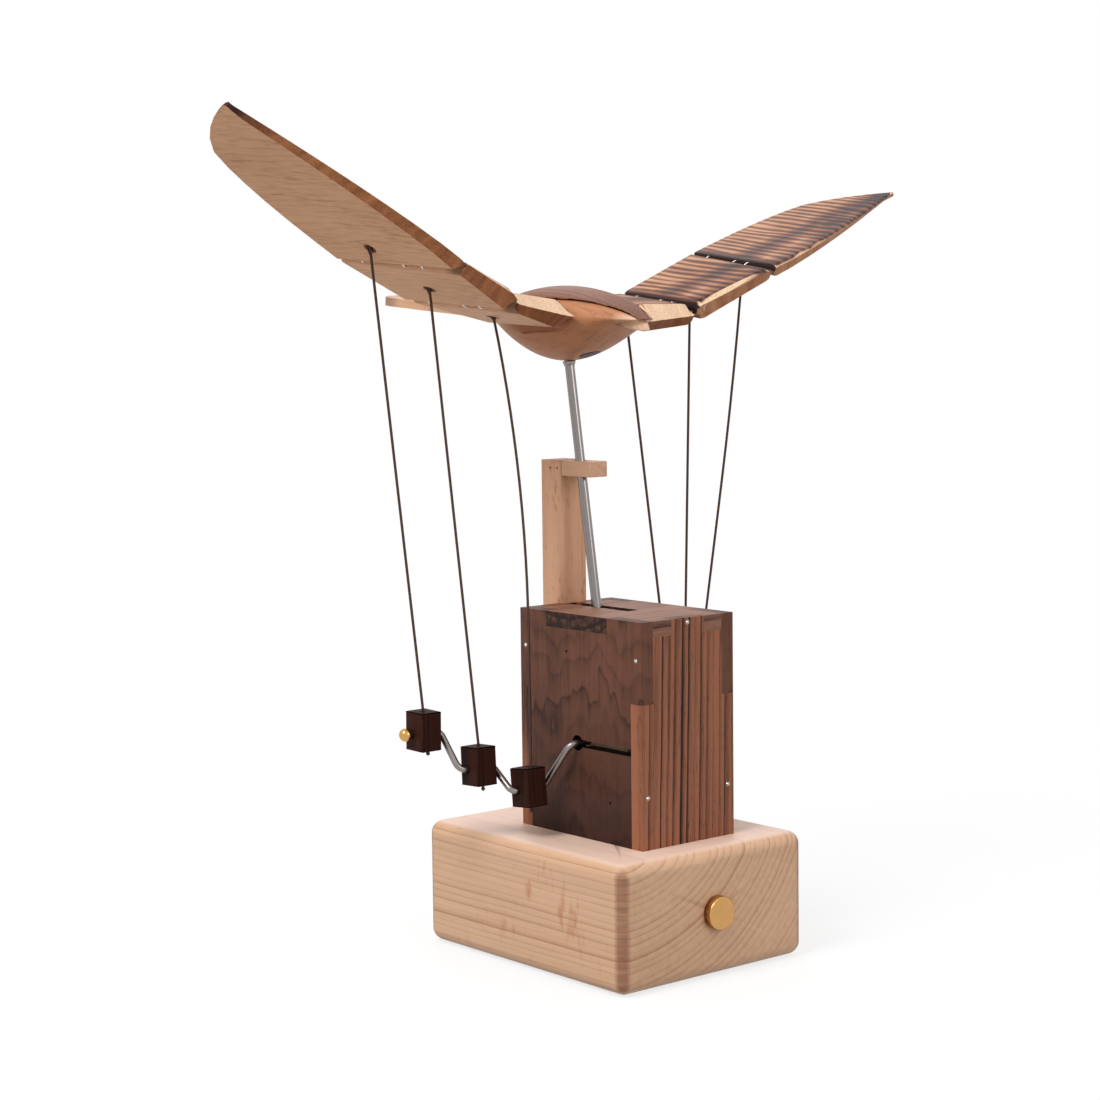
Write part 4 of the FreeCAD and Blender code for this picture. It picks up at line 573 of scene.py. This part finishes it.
plainMetal = {"brush": (2, 2, 2), "depth": 0.12, "dirt": 0.15, "lineDepth": 0.25, "turned": False}
metals = {
    "drawnSteel": {"colour": srgb(146, 139, 137), "rough": 0.16, "brush": (3, 3, 0.05), "depth": 0.06,
                   "lineDepth": 0.4},
    "bentWire": {"colour": srgb(148, 141, 138), "rough": 0.33},
    "springWire": {"colour": srgb(84, 64, 58), "rough": 0.6, "brush": (1, 1, 0.05), "depth": 0.02,
                   "dirt": 0.03, "lineDepth": 0.04},
    "darkSteel": {"colour": srgb(50, 42, 40), "rough": 0.5},
    "brightNail": {"colour": srgb(236, 232, 226), "rough": 0.25},
    "brass": {"colour": srgb(214, 166, 98), "rough": 0.22, "brush": (2, 0.1, 2)},
    "turnedBrass": {"colour": srgb(206, 158, 98), "rough": 0.26, "brush": (2, 0.1, 2), "lineDepth": 0.2,
                    "turned": True}}
plastics = {"blackPlastic": {"colour": srgb(30, 30, 32), "rough": 0.5},
            "batterySleeve": {"colour": srgb(40, 84, 66), "rough": 0.3}}


def metal(name):
    # fine drawn or turned lines, and a little dirt
    look = dict(plainMetal, **metals[name])
    shader = Shader(name)
    lines = shader.noise(shader.place, tuple(value * 1000 for value in look["brush"]), 2.0, 0.6)
    blotch = shader.noise(shader.place, 220, 3.0, 0.6)
    tone = shader.total(shader.times(lines, look["lineDepth"]), shader.times(blotch, look["dirt"]))
    shader.look(colour=shader.mix(tone, look["colour"], darker(look["colour"], 0.5)), metallic=1.0,
                rough=shader.total(shader.times(blotch, look["depth"]), look["rough"] - look["depth"] / 2))
    shader.bump(lines, 0.6 * look["lineDepth"], 0.00005)
    if look["turned"]:
        ringed = shader.add("ShaderNodeTangent", direction_type="RADIAL", axis="Y").outputs[0]
        shader.look(brushed=0.75, tangent=ringed)
    return shader.material


def plastic(name):
    look = plastics[name]
    shader = Shader(name)
    grain = shader.noise(shader.place, 900, 2.0, 0.6)
    shader.look(colour=shader.mix(grain, look["colour"], darker(look["colour"], 0.7)),
                rough=shader.total(shader.times(grain, 0.15), look["rough"] - 0.07))
    shader.bump(grain, 0.1, 0.0001)
    return shader.material


# Finish

edges = {"smooth": 30, "eased": 40, "weld": 0.000004, "segments": 2}
ease = {"guide_arm": 0.5, "bird_tail": 1.6, "board": 0.3, "block": 0.6, "rootPanel": 1.2, "panel": 0.6}


def easeOf(node):
    # how wide a node's sharp edges are rounded, in mm
    if "_wing_" in node:
        return ease["rootPanel"] if node.endswith("root") else ease["panel"]
    if node.endswith("board"):
        return ease["board"]
    if node.endswith("_block"):
        return ease["block"]
    return ease.get(node, 0.0)


def finish(node, material):
    # a CAD piece gets its material, and its sharp edges are eased
    piece = cad[node]
    piece.data.materials.clear()
    piece.data.materials.append(material)
    weld = piece.modifiers.new("weld", "WELD")
    weld.merge_threshold = edges["weld"]
    width = easeOf(node)
    if width:
        bevel = piece.modifiers.new("ease", "BEVEL")
        bevel.width = width * mm
        bevel.segments = edges["segments"]
        bevel.limit_method = "ANGLE"
        bevel.angle_limit = math.radians(edges["eased"])
        bevel.harden_normals = True
    for face in piece.data.polygons:
        face.use_smooth = True
    with bpy.context.temp_override(object=piece, active_object=piece, selected_objects=[piece]):
        bpy.ops.object.shade_auto_smooth(angle=math.radians(edges["smooth"]))
    weighted = piece.modifiers.new("weighted", "WEIGHTED_NORMAL")
    weighted.keep_sharp = True
    weighted.weight = 100


def finishAll():
    # returns the spring wire, which the hooks share
    plinth = wood("plinthBeech", beech, plinthOilAndPaintedSheen, **plinthLook)
    tail = wood("tailBeech", beech, tailTint, **tailLook)
    side = wood("sideWalnut", walnut, sideFootAndSlotShade, **sideLook)
    front = wood("frontWalnut", walnut, **frontLook)
    bright = metal("brightNail")
    black = plastic("blackPlastic")
    spring = metal("springWire")
    bySlot = {"beech": wood("innerBeech", beech, **innerLook), "wing_beech": tail,
              "walnut": wood("blockWalnut", walnut, **blockLook),
              "crown_walnut": wood("crownWalnut", walnut, **crownLook),
              "dark_wood": wood("plugWood", walnut, **plugLook),
              "brass": metal("brass"), "rod_steel": metal("drawnSteel"), "wire_steel": metal("bentWire"),
              "spring_wire": spring, "dark_steel": metal("darkSteel"), "nail_steel": bright,
              "screw_steel": bright, "motor_steel": bright, "black_plastic": black,
              "battery_sleeve": plastic("batterySleeve")}
    byNode = {"plinth": plinth, "plinth_cover": plinth, "guide_post": wood("postBeech", beech, **postLook),
              "guide_arm": wood("armBeech", beech, **armLook), "left_board": side, "right_board": side,
              # the top board's colour holds a painted sheen
              "front_board": front, "rear_board": front, "top_board": wood("topWalnutPaintedSheen", walnut, **caseTopSheenLook),
              "bird_body": wood("bodyBeech", beech, bodyTint, **bodyLook), "bird_tail": tail,
              "control_knob": metal("turnedBrass")}
    for wing in ("left", "right"):
        for panel, short in panelNodes.items():
            byNode[f"{wing}_wing_{short}"] = panelMaterial(wing, panel)
    for part in record["subparts"]:
        node = part["node"]
        finish(node, byNode.get(node, bySlot[part["material_slot"]]))
    return spring


# Hooks

hook = {"long": 4.2, "wide": 1.54, "wire": 0.38, "above": 0.4, "steps": 28, "sides": 10, "below": 0.9,
        "measured": (6, 18)}


def ringWire(name, points, radius, sides):
    # a round wire along the points and back to the first
    mesh = bmesh.new()
    rings = []
    upright = Vector((0.31, 0.17, 0.93))
    for index, point in enumerate(points):
        way = (points[(index + 1) % len(points)] - points[index - 1]).normalized()
        first = way.cross(upright).normalized()
        second = way.cross(first)
        rings.append([mesh.verts.new(point + (first * math.cos(turn) + second * math.sin(turn)) * radius)
                      for turn in (2 * math.pi * step / sides for step in range(sides))])
    for lower, upper in zip(rings, rings[1:] + rings[:1]):
        for side in range(sides):
            near = (side + 1) % sides
            mesh.faces.new((lower[side], lower[near], upper[near], upper[side]))
    bmesh.ops.recalc_face_normals(mesh, faces=mesh.faces)
    data = bpy.data.meshes.new(name)
    mesh.to_mesh(data)
    mesh.free()
    for face in data.polygons:
        face.use_smooth = True
    wire = bpy.data.objects.new(name, data)
    bpy.context.scene.collection.objects.link(wire)
    return wire


def middleOf(points):
    return sum(points, Vector()) / len(points)


def makeHooks(steel):
    # each push rod ends in a small loop, bent from the rod's own wire and turned to the camera
    for side in ("left", "right"):
        for throw in ("inner", "middle", "outer"):
            rod = cad[f"{side}_pushrod_{throw}"]
            corners = [rod.matrix_world @ vertex.co for vertex in rod.data.vertices]
            highest = max(corner.z for corner in corners)
            top = middleOf([corner for corner in corners if corner.z > highest - 0.5 * mm])
            top -= Vector((0, 0, hook["below"] * mm))
            near, far = (top.z - depth * mm for depth in hook["measured"])
            lower = [corner for corner in corners if far < corner.z < near]
            way = (top - middleOf(lower)).normalized() if lower else Vector((0, 0, 1))
            across = (acrossView - way * acrossView.dot(way)).normalized()
            loop = []
            for step in range(hook["steps"]):
                turn = 2 * math.pi * step / hook["steps"]
                along = (math.cos(turn) - 1) / 2 * hook["long"] + hook["above"]
                beside = math.sin(turn) * math.cos(turn / 2) ** 2 * hook["wide"]
                loop.append(top + (way * along + across * beside) * mm)
            piece = ringWire(f"{side}_{throw}_hook", loop, hook["wire"] * mm, hook["sides"])
            piece.data.materials.append(steel)
            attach(piece, f"{side}_{throw}_rod")


makeCamera()
makeRoom()
makeFloor()
makeLamps()
print("camera, floor and light")
springWire = finishAll()
print("CAD pieces finished")
makeHooks(springWire)
print("hooks on the push rods")

scene = bpy.context.scene
scene.view_settings.view_transform = "Standard"
